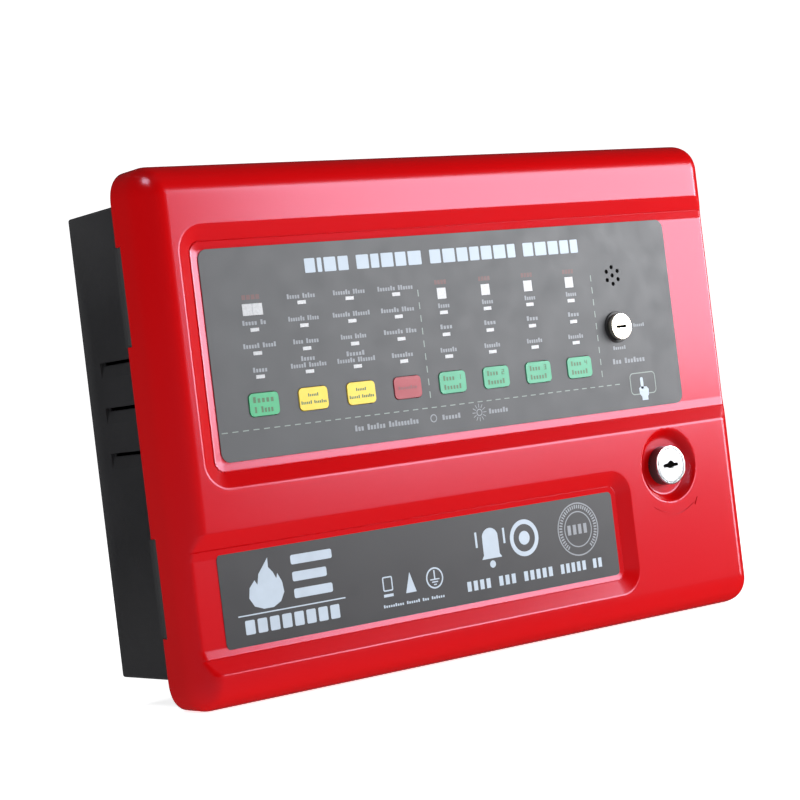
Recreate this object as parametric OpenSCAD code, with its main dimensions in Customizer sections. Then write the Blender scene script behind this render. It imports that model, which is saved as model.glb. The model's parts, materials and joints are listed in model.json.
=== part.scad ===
// Fire alarm control panel: a black back box for the wall and a red door hinged on its left edge.
// X runs to the right, Y into the wall and Z up. The origin is the centre of the face on the wall.
// Every piece is drawn lying on its back, with X to the right, Y up the wall and Z as the height
// above the wall, and upright() stands it against the wall.

/* [Door] */
// Width of the door
door_w = 364; // [362:1:368]
// Height of the door
door_h = 260; // [258:1:264]
// Height of the door's front above the wall
front = 82; // [82:0.5:84]
// Depth of the door from its front to its rim
door_d = 32.6; // [32:0.1:33]
// Radius of the rounded front edge and of the corners
door_r = 14; // [13:0.5:16]
// Wall thickness of the door
door_wall = 2.8; // [2.4:0.1:3]
// Depth of the two recesses in the front
recess_d = 4.6; // [4.4:0.1:5]

/* [Back box] */
// Width of the back box
box_w = 358; // [356:1:358]
// Height of the back box
box_h = 229; // [226:1:230]
// Height of the box's side walls above the wall
box_d = 48.4; // [48:0.1:48.6]
// Wall thickness of the box
box_wall = 2.5; // [2:0.1:2.6]
// Radius of the holes for the wall screws
wall_hole_r = 2.5; // [2:0.1:3]
// Sideways distance between the wall screws
wall_hole_dx = 320; // [316:1:322]
// Upright distance between the wall screws
wall_hole_dy = 184; // [180:1:186]
// Radius of the cable entries
entry_r = 10; // [8:0.5:11]

/* [Hinge] */
// Radius of the hinge pins
pin_r = 1.1; // [1:0.05:1.2]
// Radial clearance of a pin in the door's lugs
pin_gap = 0.05; // [0.02:0.01:0.1]

/* [Controls] */
// Width of a push button
button_w = 16.8; // [16:0.1:18.5]
// Height of a push button
button_h = 11; // [10.5:0.05:12.5]
// Distance between neighbouring columns of the display
column_pitch = 28.8; // [28:0.1:29.5]
// Distance between neighbouring rows of lamps
row_pitch = 11.35; // [11:0.05:12]

/* [Hidden] */
$fn = 48;

slack = 1;                          // How far a cutter runs past the face it opens
arc_steps = 8;                      // Flats in a quarter turn of a drawn outline

// Door
door_x = door_w / 2;
door_y = door_h / 2;
rim = front - door_d;               // Height of the door's rim
floor_h = front - recess_d;         // Height of the floors of the two recesses
backing_h = floor_h - door_wall;    // Height of the door's inner face behind the recesses
inner_x = door_x - door_wall;
inner_y = door_y - door_wall;

// Recesses: outlines of their floors, as [left, right, bottom, top]
recess_run = 8.5;                   // Sideways run of a recess wall, from floor to front
recess_r = 5;                       // Corner radius of a recess floor
wall_bend_r = 6.2;                  // Radius of the bend at the foot of a recess wall
wall_bend = 34.5;                   // Angle that the bend turns through
upper_floor = [-158.3, door_x + 40, -17.7, 91.3];
lower_floor = [-door_x - 40, 87.9, -104.1, -54.5];
backing_rim = 10;                   // How far the backing reaches past a recess floor

// Overlay and label: outlines as [left, right, bottom, top]
overlay = [-154.4, 146.8, -14.1, 88];
overlay_r = 5;
overlay_t = 0.5;
overlay_h = floor_h + overlay_t;
label = [-164, 87, -103.5, -54.9];
label_r = 3.5;
label_t = 0.3;

// Display: eight columns of lamps over eight buttons
first_column = -127.4;
columns = 8;
first_zone_column = 4;
top_row = 59.1;
rows = 4;
button_y = 11.7;
button_r = 2.2;
button_proud = 0.5;                 // How far a button stands above the overlay
button_travel = 0.6;
button_gap = 0.35;                  // Clearance round a button
lamp_w = 5;
lamp_h = 1.8;
lamp_gap = 0.1;
alarm_lamp_w = 5.7;
alarm_lamp_y = 57.6;
fire_lamp_dx = 2.9;                 // Each of the two fire lamps stands this far off its column

// Display board
pcb_t = 1.6;
display = [-156, 126, -18, 92];
display_h = 63.3;                   // Height of the display board's back face
display_top = display_h + pcb_t;
display_posts = [for (x = [-150, -12, 120], y = [-12, 86]) [x, y]];
post_r = 3.5;
screw_hole_r = 1.3;
screw_r = 1.2;
board_hole_r = 1.6;
screw_head_r = 2.8;
screw_head_h = 2;

// Buzzer and its sound holes
buzzer_at = [105.6, 59.3];
buzzer_r = 6;
sound_hole_r = 1.2;
sound_ring_r = 4.55;

// Key switch
key_at = [104.2, 31.1];
key_bezel_r = 8.5;
key_head_r = 7.2;
key_head_h = 4.3;
key_shank_r = 6;
key_plug_r = 4.75;
key_plug_gap = 0.05;
key_rear = 57;

// Door lock
lock_at = [126.5, -47.4];
dish_r = 20;
dish_floor_r = 15.5;
dish_h = front - 5;
dish_backing_r = 26;
lock_head_r = 10.6;
lock_face = front + 1.8;
lock_shank_r = 9.2;
lock_plug_face_r = 9;
lock_plug_r = 6.2;
lock_plug_gap = 0.05;
lock_rear = 60;
cam_h = 56.3;
cam_t = 1.8;
cam_len = 45;
cam_w = 13;
stub_r = 3;

// Strike on the right wall, under whose lip the cam turns
strike_y = [-62, -32];
strike_t = 1.6;
strike_screw_y = [-56, -38];
strike_screw_h = 36;
lip_h = cam_h + cam_t + 1;
lip_x = 158;

// Turning arrow pressed into the door under the lock
arrow_r = 26.5;
arrow_from = 236;
arrow_sweep = 68;
arrow_w = 1.4;
arrow_depth = 0.6;

// Back box
box_x = box_w / 2;
box_y = box_h / 2;
cavity_x = box_x - box_wall;
cavity_y = box_y - box_wall;
flange_h = 49.6;
flange_t = 2;
flange = [-174.5, 177.5, -125, 125];
flange_r = 12;
vent_tops = [41.2, 18.9, -3.4];       // Upper edges of the three vents in each side wall
vent_from = 15;
vent_to = 46;
vent_slope = 7.6;
vent_depth = 1.7;
vent_slot = 1.6;
entry_h = 24;
open_entries = [-120, 120];
plugged_entries = [-40, 40];

// Hinge: its axis runs up the left edge, inside the door's side wall
hinge_x = -door_x + 2.4;
hinge_h = rim + 2;
notch = [46, 94];                   // Lowest and highest point of the upper notch in the door's rim
notch_d = 4.5;
lug_len = 7;
lug_x = hinge_x + 3.4;
lug_h = 5.2;
knuckle_r = 2.2;
knuckle_gap = 0.4;
pin_len = 14;

// Main board
board = [-150, 95, -8, 92];
board_h = 10.9;
board_top = board_h + pcb_t;
board_posts = [for (x = [-144, -28, 89], y = [-2, 86]) [x, y]];
terminal_starts = [-138, -93, -20, 25];
terminal_ways = 8;
terminal_pitch = 5.08;

// Batteries
battery = [97, 52, 43];
battery_starts = [-143, -42];
battery_bottom = -104;
battery_floor = box_wall + 0.3;
clamp_t = 1;
clamp_y = [-86, -74];
clamp_feet = [-148, 60];

// Transformer
core = [48, 24, 40];
core_at = [116, 40, 4.3];
leg_w = 16;
window_w = 8;
window_h = 24;
ear_x = [111.5, 168.5];

// ---- Shared shapes ----

// Stands a piece against the wall
module upright() rotate([90, 0, 0]) children();

// Points of a round corner about c, from angle a turning a quarter turn
function corner(c, r, a) =
    [for (i = [0 : arc_steps]) c + r * [cos(a + 90 * i / arc_steps), sin(a + 90 * i / arc_steps)]];

// Outline of a rectangle [left, right, bottom, top] with round corners
function round_rect(b, r) = concat(
    corner([b[1] - r, b[3] - r], r, 0), corner([b[0] + r, b[3] - r], r, 90),
    corner([b[0] + r, b[2] + r], r, 180), corner([b[1] - r, b[2] + r], r, 270));

// Rectangle of a given width and height about a centre, as [left, right, bottom, top]
function about(c, w, h) = [c[0] - w / 2, c[0] + w / 2, c[1] - h / 2, c[1] + h / 2];

// Middle of a stretch [from, to]
function mid(r) = (r[0] + r[1]) / 2;

// Rectangle grown by m on every side
function grown(b, m) = b + m * [-1, 1, -1, 1];

module plate(b, r, low, high)
    translate([0, 0, low]) linear_extrude(high - low) polygon(round_rect(b, r));

module block(b, low, high)
    translate([b[0], b[2], low]) cube([b[1] - b[0], b[3] - b[2], high - low]);

module rod(c, r, low, high)
    translate([c[0], c[1], low]) cylinder(r = r, h = high - low);

module hex(c, across, low, high)
    translate([c[0], c[1], low]) cylinder(r = across / sqrt(3), h = high - low, $fn = 6);

// Slab over rectangle b whose border follows a section. The section's points are given as
// [distance outwards from the line of the corner centres, height], with r as the corner radius.
module bordered(b, r, section) {
    line = grown(b, -r);
    heights = [for (p = section) if (p[0] == 0) p[1]];
    w = line[1] - line[0];
    h = line[3] - line[2];
    block(line, min(heights), max(heights));
    translate([line[0], line[2], 0]) {
        corner_piece(w, h, 0, section);
        corner_piece(0, h, 90, section);
        corner_piece(0, 0, 180, section);
        corner_piece(w, 0, 270, section);
        side_piece(w, h, 0, h, section);
        side_piece(0, h, 90, w, section);
        side_piece(0, 0, 180, h, section);
        side_piece(w, 0, 270, w, section);
    }
}

module corner_piece(x, y, turn, section)
    translate([x, y, 0]) rotate(turn) rotate_extrude(angle = 90) polygon(section);

module side_piece(x, y, turn, length, section)
    translate([x, y, 0]) rotate(turn) rotate([90, 0, 0]) linear_extrude(length) polygon(section);

// Section of a rounded border: straight side up from low, then a quarter round of radius r to high
function rounded_section(r, low, high) =
    concat([[0, low], [r, low]], corner([0, high - r], r, 0));

// Section of a recess: its wall leaves the floor in a bend and runs straight to the front
function recess_section() =
    let (
        r = wall_bend_r,
        steps = 5,
        top_x = recess_r + recess_run
    )
    concat(
        [[0, front + slack], [0, floor_h]],
        [for (i = [0 : steps]) let (a = wall_bend * i / steps)
            [recess_r + r * sin(a), floor_h + r * (1 - cos(a))]],
        [[top_x, front], [top_x, front + slack]]);

module screw(c, low, seat, r = screw_r, head_r = screw_head_r, head_h = screw_head_h) {
    difference() {
        union() {
            rod(c, r, low, seat + head_h / 2);
            rod(c, head_r, seat, seat + head_h);
        }
        block(about(c, head_r * 1.3, 0.7), seat + head_h / 2, seat + head_h + slack);
        block(about(c, 0.7, head_r * 1.3), seat + head_h / 2, seat + head_h + slack);
    }
}

// ---- Places on the display ----

function column_x(i) = first_column + column_pitch * i;
function row_y(j) = top_row - row_pitch * j;

// Small lamps stand in every row of columns 1 to 3, and below the square lamps elsewhere
small_lamps = [for (i = [0 : columns - 1], j = [0 : rows - 1])
    if (j > 0 || (i > 0 && i < first_zone_column)) [column_x(i), row_y(j)]];
fire_lamps = [for (s = [-1, 1]) [column_x(0) + s * fire_lamp_dx, alarm_lamp_y]];
zone_lamps = [for (i = [first_zone_column : columns - 1]) [column_x(i), alarm_lamp_y]];
square_lamps = concat(fire_lamps, zone_lamps);
buttons = [for (i = [0 : columns - 1]) [column_x(i), button_y]];
sound_holes = concat([buzzer_at],
    [for (a = [30 : 60 : 330]) buzzer_at + sound_ring_r * [cos(a), sin(a)]]);

// ---- Door ----

module hinge_lugs() {
    for (s = [-1, 1], y = [notch[0] - lug_len, notch[1]])
        block([-door_x + 0.5, lug_x, min(s * y, s * (y + lug_len)), max(s * y, s * (y + lug_len))],
            rim, rim + lug_h);
}

// Pin holes run past the lugs, as open channels through which the pins are slid in
module hinge_bores(r, from, to) {
    for (s = [-1, 1])
        translate([hinge_x, s > 0 ? from : -to, hinge_h])
            rotate([-90, 0, 0]) cylinder(r = r, h = to - from);
}

module door_shell() {
    difference() {
        bordered([-door_x, door_x, -door_y, door_y], door_r, rounded_section(door_r, rim, front));
        difference() {
            bordered([-inner_x, inner_x, -inner_y, inner_y], door_r - door_wall,
                rounded_section(door_r - door_wall, rim - slack, front - door_wall));
            block(grown(upper_floor, backing_rim), backing_h, front);
            block(grown(lower_floor, backing_rim), backing_h, front);
            rod(lock_at, dish_backing_r, dish_h - door_wall, front);
            hinge_lugs();
            for (p = display_posts) rod(p, post_r, display_top, backing_h + slack);
        }
    }
}

module dish_cut() {
    slope = dish_r - dish_floor_r;
    translate([lock_at[0], lock_at[1], 0]) rotate_extrude() polygon(concat(
        [[0, front + slack], [0, dish_h]],
        [for (i = [0 : 6]) let (t = i / 6)
            [dish_floor_r + slope * t, dish_h + (front - dish_h) * t * t * (3 - 2 * t)]],
        [[dish_r, front + slack]]));
}

module arrow_cut() {
    tip = arrow_from + arrow_sweep;
    translate([lock_at[0], lock_at[1], front - arrow_depth]) {
        rotate(arrow_from) rotate_extrude(angle = arrow_sweep)
            translate([arrow_r - arrow_w / 2, 0]) square([arrow_w, arrow_depth + slack]);
        rotate(tip) translate([arrow_r, 0, 0]) linear_extrude(arrow_depth + slack)
            polygon([[-2.6, -0.5], [2.6, -0.5], [0, 5]]);
    }
}

module door_cover() color("firebrick") upright() {
    difference() {
        door_shell();
        bordered(grown(upper_floor, recess_run), recess_r + recess_run, recess_section());
        bordered(grown(lower_floor, recess_run), recess_r + recess_run, recess_section());
        dish_cut();
        arrow_cut();
        for (s = [-1, 1])
            block([-door_x - slack, lug_x, min(s * notch[0], s * notch[1]),
                max(s * notch[0], s * notch[1])], rim - slack, rim + notch_d);
        hinge_bores(pin_r + pin_gap, notch[0] - lug_len - pin_len, notch[1] + lug_len + pin_len);
        rod(lock_at, lock_shank_r + 0.3, display_h, front);
        rod(key_at, key_shank_r + 0.3, display_h, front);
        for (p = sound_holes) rod(p, sound_hole_r, display_h, front);
        for (p = display_posts) rod(p, screw_hole_r, display_top - slack, floor_h - 1.5);
        for (p = buttons)
            plate(about(p, button_w + 2 * button_gap, button_h + 2 * button_gap),
                button_r + button_gap, display_h, front);
        for (p = small_lamps) block(about(p, lamp_w + 0.6, lamp_h + 0.6), display_h, front);
        for (p = square_lamps)
            block(about(p, alarm_lamp_w + 0.6, alarm_lamp_w + 0.6), display_h, front);
    }
}

module upper_overlay() color("dimgray") upright() {
    difference() {
        plate(overlay, overlay_r, floor_h, overlay_h);
        rod(key_at, key_shank_r + 0.3, display_h, front);
        for (p = sound_holes) rod(p, sound_hole_r, display_h, front);
        for (p = buttons)
            plate(about(p, button_w + 2 * button_gap, button_h + 2 * button_gap),
                button_r + button_gap, display_h, front);
        for (p = small_lamps)
            block(about(p, lamp_w + 2 * lamp_gap, lamp_h + 2 * lamp_gap), display_h, front);
        for (p = square_lamps)
            block(about(p, alarm_lamp_w + 2 * lamp_gap, alarm_lamp_w + 2 * lamp_gap),
                display_h, front);
    }
}

module lower_label() color([0.31, 0.31, 0.33]) upright()
    plate(label, label_r, floor_h, floor_h + label_t);

// ---- Display board and what stands on it ----

module display_board() color("darkgreen") upright() {
    difference() {
        plate(display, 2, display_h, display_top);
        for (p = display_posts) rod(p, board_hole_r, display_h - slack, front);
        rod(key_at, key_bezel_r + 1.4, display_h - slack, front);
    }
}

// The screws are driven from behind, so each one is turned over about the board's back face
module display_screws() color("silver") upright()
    for (p = display_posts)
        translate([0, 0, 2 * display_h]) mirror([0, 0, 1])
            screw(p, 2 * display_h - floor_h + 3, display_h);

module lamp(p, w, h) {
    block(about(p, w, h), display_top + 2, overlay_h - 0.05);
    for (s = [-1, 1]) block(about(p + [s * w / 4, 0], 0.5, 0.5), display_top, display_top + 2);
}

module indicator_lamps() color("gainsboro") upright()
    for (p = small_lamps) lamp(p, lamp_w, lamp_h);

module alarm_lamps() color("whitesmoke") upright()
    for (p = square_lamps) lamp(p, alarm_lamp_w, alarm_lamp_w);

module tact_switches() color([0.15, 0.15, 0.16]) upright()
    for (p = buttons) {
        plate(about(p, 6, 6), 0.5, display_top, display_top + 3.5);
        rod(p, 1.75, display_top + 3.4, display_top + 5);
    }

module buzzer() color([0.1, 0.1, 0.1]) upright() {
    difference() {
        rod(buzzer_at, buzzer_r, display_top, backing_h - 0.5);
        rod(buzzer_at, 1, display_top + 2, front);
    }
}

module display_chips() color([0.12, 0.12, 0.13]) upright()
    for (x = [-100, -60, -20, 20, 60])
        for (y = [40, 70]) chip([x, y], 10, 4, display_h - 1.6, display_h);

// A moulded package with a row of legs along each long side, which start at the board
module chip(c, w, h, low, high) {
    block(about(c, w, h), low, high);
    for (s = [-1, 1], i = [-3 : 3])
        block(about(c + [i * w / 7.5, s * (h / 2 + 0.4)], 0.5, 1), low + 0.1, high);
}

module header(x, y, low, high) {
    difference() {
        block([x, x + 9, y, y + 34], low, high);
        block([x + 1.4, x + 7.6, y + 1.4, y + 32.6], low + 2, high + slack);
    }
    for (i = [0 : 9], s = [-1.27, 1.27])
        block(about([x + 4.5 + s, y + 5.6 + 2.54 * i], 0.64, 0.64), low + 1, high - 2.5);
}

module display_header() color([0.14, 0.14, 0.15]) upright()
    translate([0, 0, 2 * display_h]) mirror([0, 0, 1]) header(-145, 25, display_h, display_h + 9);

// ---- Buttons ----

module button(i, shade) color(shade) upright() {
    p = buttons[i];
    plate(about(p, button_w, button_h), button_r, backing_h - 0.5, overlay_h + button_proud);
    plate(about(p, button_w + 2.8, button_h + 2.8), button_r, backing_h - 1.5, backing_h - 0.5);
    rod(p, 2.4, display_top + 5 + button_travel + 0.3, backing_h - 1.5);
}

module button_1() button(0, "mediumseagreen");
module button_2() button(1, "gold");
module button_3() button(2, "gold");
module button_4() button(3, "indianred");
module button_5() button(4, "mediumaquamarine");
module button_6() button(5, "mediumaquamarine");
module button_7() button(6, "mediumaquamarine");
module button_8() button(7, "mediumaquamarine");

// ---- Key switch ----

module key_switch_bezel() color([0.08, 0.08, 0.09]) upright() {
    difference() {
        rod(key_at, key_bezel_r, overlay_h, overlay_h + 1);
        rod(key_at, key_head_r + 0.05, overlay_h - slack, front);
    }
}

module key_switch_body() color("silver") upright() {
    head = overlay_h + key_head_h;
    difference() {
        union() {
            translate([key_at[0], key_at[1], 0]) rotate_extrude() polygon([[0, overlay_h],
                [key_head_r, overlay_h], [key_head_r, head - 0.3], [key_head_r - 0.3, head],
                [0, head]]);
            rod(key_at, key_shank_r, key_rear, overlay_h + slack);
            for (s = [-1, 1]) block(about(key_at + [s * 3, 0], 0.8, 3), key_rear - 4, key_rear + 1);
        }
        rod(key_at, key_plug_r + key_plug_gap, key_rear + 1.5, head + slack);
    }
}

module key_switch_nut() color("lightgray") upright() {
    difference() {
        hex(key_at, 16, backing_h - 2.6, backing_h);
        rod(key_at, key_shank_r, display_h, front);
    }
}

module key_switch_plug() color("gainsboro") upright() {
    head = overlay_h + key_head_h;
    difference() {
        rod(key_at, key_plug_r, key_rear + 2, head - 0.3);
        block(about(key_at, 7.2, 1.2), head - 9, head);
    }
}

// ---- Door lock ----

module lock_body() color("silver") upright() {
    difference() {
        union() {
            translate([lock_at[0], lock_at[1], 0]) rotate_extrude() polygon(concat(
                [[0, dish_h], [lock_head_r, dish_h]],
                corner([lock_head_r - 1.4, lock_face - 1.4], 1.4, 0),
                [[0, lock_face]]));
            rod(lock_at, lock_shank_r, lock_rear, dish_h + slack);
        }
        rod(lock_at, lock_plug_r + lock_plug_gap, lock_rear - slack, lock_face + slack);
        rod(lock_at, lock_plug_face_r + lock_plug_gap, lock_face - 1.6, lock_face + slack);
    }
}

module lock_nut() color("lightgray") upright() {
    difference() {
        hex(lock_at, 23, dish_h - door_wall - 3, dish_h - door_wall);
        rod(lock_at, lock_shank_r, display_h, front);
    }
}

module lock_plug() color("gainsboro") upright() {
    difference() {
        union() {
            rod(lock_at, lock_plug_face_r, lock_face - 1.5, lock_face - 0.1);
            rod(lock_at, lock_plug_r, cam_h + cam_t, lock_face - slack);
            rod(lock_at, stub_r, cam_h + 0.1, cam_h + cam_t + slack);
        }
        block(about(lock_at, 10.7, 1.9), lock_face - 9, lock_face);
        rod(lock_at, 2.5, lock_face - 0.7, lock_face);
        rod(lock_at, 1.6, cam_h - slack, cam_h + 7);
    }
}

// The cam points up while the door is free, and a quarter turn to the right brings it under the strike
module lock_cam() color("lightgray") upright() {
    difference() {
        union() {
            rod(lock_at, cam_w / 2, cam_h, cam_h + cam_t);
            block([lock_at[0] - cam_w / 2, lock_at[0] + cam_w / 2, lock_at[1],
                lock_at[1] + cam_len - 4], cam_h, cam_h + cam_t);
            block([lock_at[0] - cam_w / 2 + 2, lock_at[0] + cam_w / 2 - 2, lock_at[1],
                lock_at[1] + cam_len], cam_h, cam_h + cam_t);
        }
        rod(lock_at, stub_r + 0.02, cam_h - slack, cam_h + cam_t + slack);
    }
}

module cam_screw() color("silver") upright()
    translate([0, 0, 2 * cam_h]) mirror([0, 0, 1])
        screw(lock_at, cam_h - 6, cam_h, 1.5, 4, 2.2);

// ---- Back box ----

// One vent in the left wall: a pocket with a sloping blade, open along its upper edge
module vent(top) {
    translate([0, 0, vent_from]) linear_extrude(vent_to - vent_from) polygon([
        [-box_x - slack, top], [-box_x + vent_depth, top],
        [-box_x + vent_depth, top - vent_slot], [-box_x, top - vent_slope],
        [-box_x - slack, top - vent_slope]]);
    block([-box_x - slack, -cavity_x + slack, top - vent_slot, top], vent_from + 2, vent_to - 2);
}

// The knuckles fill the notches of the door's rim and stand on short webs
module knuckles() {
    for (s = [-1, 1]) {
        low = notch[0] + knuckle_gap;
        high = notch[1] - knuckle_gap;
        b = s > 0 ? [low, high] : [-high, -low];
        translate([hinge_x, b[0], hinge_h]) rotate([-90, 0, 0]) cylinder(r = knuckle_r, h = b[1] - b[0]);
        block([hinge_x - 1, -cavity_x, b[0], b[1]], box_d - 3, hinge_h);
    }
}

module wall_posts() {
    for (x = [-1, 1], y = [-1, 1])
        rod([x * wall_hole_dx / 2, y * wall_hole_dy / 2], 6, box_wall - slack, box_wall + 2.5);
    for (p = board_posts) rod(p, post_r, box_wall - slack, board_h);
    for (x = clamp_feet) rod([x, mid(clamp_y)], post_r, box_wall - slack, box_wall + 2);
    for (x = ear_x) rod([x, core_at[1] + core[1] / 2], post_r, box_wall - slack, box_wall + 1);
}

module back_box() color([0.16, 0.16, 0.17]) upright() {
    difference() {
        union() {
            difference() {
                union() {
                    plate([-box_x, box_x, -box_y, box_y], 1.5, 0, box_d);
                    block([flange[0], box_x, -box_y, box_y], box_d - slack, flange_h + flange_t);
                    plate(flange, flange_r, flange_h, flange_h + flange_t);
                }
                block([-cavity_x, cavity_x, -cavity_y, cavity_y], box_wall, front);
            }
            knuckles();
            wall_posts();
        }
        for (x = [-1, 1], y = [-1, 1])
            rod([x * wall_hole_dx / 2, y * wall_hole_dy / 2], wall_hole_r, -slack, box_wall + 4);
        for (p = board_posts) rod(p, screw_hole_r, box_wall, board_h + slack);
        for (x = clamp_feet) rod([x, mid(clamp_y)], screw_hole_r, 1, box_wall + 3);
        for (x = ear_x) rod([x, core_at[1] + core[1] / 2], screw_hole_r, 1, box_wall + 3);
        for (x = concat(open_entries, plugged_entries))
            translate([x, cavity_y - slack, entry_h]) rotate([-90, 0, 0])
                cylinder(r = entry_r, h = box_wall + 2 * slack);
        for (top = vent_tops) {
            vent(top);
            mirror([1, 0, 0]) vent(top);
        }
        hinge_bores(pin_r + 0.02, notch[0], notch[1]);
        for (y = strike_screw_y)
            translate([cavity_x - slack, y, strike_screw_h]) rotate([0, 90, 0])
                cylinder(r = screw_hole_r, h = box_wall + 2 * slack);
    }
}

module hinge_pins() color("silver") upright()
    for (y = [notch[0] - lug_len + 1, notch[1] + lug_len - 1 - pin_len])
        hinge_bores(pin_r, y, y + pin_len);

module blanking_plugs() color([0.07, 0.07, 0.07]) upright()
    for (x = plugged_entries)
        translate([x, 0, entry_h]) rotate([-90, 0, 0]) rotate_extrude() polygon([
            [0, cavity_y + 0.5], [entry_r - 1.5, cavity_y + 0.5], [entry_r - 1.5, cavity_y - 2],
            [entry_r, cavity_y - 2], [entry_r + 0.8, cavity_y - 0.05], [entry_r - 0.05, cavity_y - 0.05],
            [entry_r - 0.05, box_y + 0.02], [entry_r + 2, box_y + 0.02], [entry_r + 1.2, box_y + 1.2],
            [0, box_y + 1.6]]);

// ---- Strike for the cam, on the right wall ----

module lock_strike() color("lightgray") upright() {
    difference() {
        union() {
            block([cavity_x - strike_t, cavity_x, strike_y[0], strike_y[1]], 24, lip_h + strike_t);
            block([lip_x, cavity_x, strike_y[0], strike_y[1]], lip_h, lip_h + strike_t);
        }
        for (y = strike_screw_y)
            translate([cavity_x - 5, y, strike_screw_h]) rotate([0, 90, 0]) cylinder(r = board_hole_r, h = 10);
    }
}

module strike_screws() color("silver") upright()
    for (y = strike_screw_y)
        translate([cavity_x - strike_t, y, strike_screw_h]) rotate([0, -90, 0])
            screw([0, 0], -3.5, 0);

// ---- Main board ----

module main_board() color("green") upright() {
    difference() {
        plate(board, 2, board_h, board_top);
        for (p = board_posts) rod(p, board_hole_r, board_h - slack, front);
    }
}

module board_screws() color("silver") upright()
    for (p = board_posts) screw(p, box_wall + 1.5, board_top);

// One row of cable terminals: wires enter from above and are clamped by screws in the front
module terminal_row(x, y, low, ways, pitch) {
    difference() {
        union() {
            block([x, x + ways * pitch, y, y + 11], low, low + 8);
            block([x, x + ways * pitch, y + 1.5, y + 9], low, low + 13);
        }
        for (i = [0 : ways - 1]) {
            c = [x + (i + 0.5) * pitch, y + 5.2];
            rod(c, 1.9, low + 9, low + 14);
            block([c[0] - 1.6, c[0] + 1.6, y + 7, y + 12], low + 2, low + 6);
        }
    }
}

module terminal_row_screws(x, y, low, ways, pitch) {
    for (i = [0 : ways - 1]) {
        c = [x + (i + 0.5) * pitch, y + 5.2];
        difference() {
            rod(c, 1.8, low + 9, low + 12.2);
            block(about(c, 4, 0.6), low + 11.4, low + 13);
        }
    }
}

module zone_terminals() color("seagreen") upright()
    for (x = terminal_starts) terminal_row(x, 79, board_top, terminal_ways, terminal_pitch);

module terminal_screws() color("silver") upright() {
    for (x = terminal_starts) terminal_row_screws(x, 79, board_top, terminal_ways, terminal_pitch);
    terminal_row_screws(84, -100, box_wall, 3, 10);
}

module relays() color([0.13, 0.2, 0.42]) upright()
    for (x = [32, 52, 72]) plate([x, x + 15.5, 46, 65], 0.8, board_top, board_top + 15.7);

module capacitors() color([0.1, 0.12, 0.2]) upright() {
    for (x = [58, 79]) can([x, 20], 8, 25);
    for (y = [10, 26]) can([36, y], 5, 16);
}

module can(c, r, h)
    translate([c[0], c[1], board_top]) rotate_extrude() polygon([[0, 0], [r, 0], [r, 1.6],
        [r - 0.5, 2.2], [r, 2.8], [r, h - 0.8], [r - 0.8, h], [r - 1.6, h], [r - 2, h - 0.4],
        [0, h - 0.4]]);

module control_chips() color([0.12, 0.12, 0.13]) upright() {
    for (y = [14, 36, 58]) chip([-110, y], 20, 6.5, board_top + 0.5, board_top + 4);
    block(about([-68, 36], 14, 14), board_top + 0.2, board_top + 1.8);
    for (a = [0 : 90 : 270], i = [-5 : 5])
        translate([-68, 36, 0]) rotate(a) block(about([i * 1.1, 7.6], 0.4, 1.4), board_top, board_top + 0.6);
    for (x = [-72, -52]) chip([x, 8], 10, 4, board_top + 0.2, board_top + 1.8);
}

module heat_sink() color("lightgray") upright() {
    block([-30, 6, 30, 33], board_top, board_top + 24);
    for (i = [0 : 6]) block([-30 + i * 5.7, -28.2 + i * 5.7, 18, 31], board_top, board_top + 24);
}

module board_header() color([0.14, 0.14, 0.15]) upright()
    header(-145, 25, board_top, board_top + 9);

// ---- Mains side ----

module mains_terminal() color("whitesmoke") upright()
    terminal_row(84, -100, box_wall, 3, 10);

module fuse_holder() color([0.15, 0.15, 0.16]) upright() {
    difference() {
        block([120, 148, -100, -88], box_wall, box_wall + 9);
        block([123, 145, -97.5, -90.5], box_wall + 2.5, box_wall + 12);
    }
}

module mains_fuse() color([0.8, 0.85, 0.85]) upright()
    translate([124, -94, box_wall + 6]) rotate([0, 90, 0]) {
        cylinder(r = 2.4, h = 20);
        for (z = [0, 15]) translate([0, 0, z]) cylinder(r = 2.7, h = 5);
    }

module earth_stud() color("goldenrod") upright() {
    rod([74, -70], 2, box_wall, box_wall + 14);
    hex([74, -70], 7, box_wall, box_wall + 3);
    hex([74, -70], 7, box_wall + 6, box_wall + 9);
}

// ---- Transformer ----

module core_windows(margin) {
    mid = core_at[0] + core[0] / 2;
    for (s = [-1, 1]) {
        c = mid + s * (leg_w + window_w) / 2;
        block([c - window_w / 2 + margin, c + window_w / 2 - margin, core_at[1] - slack,
            core_at[1] + core[1] + slack], core_at[2] + leg_w / 2 + margin,
            core_at[2] + leg_w / 2 + window_h - margin);
    }
}

module transformer_core() color("slategray") upright() {
    difference() {
        block([core_at[0], core_at[0] + core[0], core_at[1], core_at[1] + core[1]],
            core_at[2], core_at[2] + core[2]);
        core_windows(0);
    }
}

module transformer_coil() color("peru") upright() {
    mid = core_at[0] + core[0] / 2;
    half = leg_w / 2 + window_w - 0.3;
    low = core_at[2] + leg_w / 2 + 0.3;
    difference() {
        plate([mid - half, mid + half, core_at[1] - 8, core_at[1] + core[1] + 8], 3,
            low, low + window_h - 0.6);
        block([mid - leg_w / 2 - 0.2, mid + leg_w / 2 + 0.2, core_at[1] - 0.2,
            core_at[1] + core[1] + 0.2], core_at[2], front);
    }
}

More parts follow.
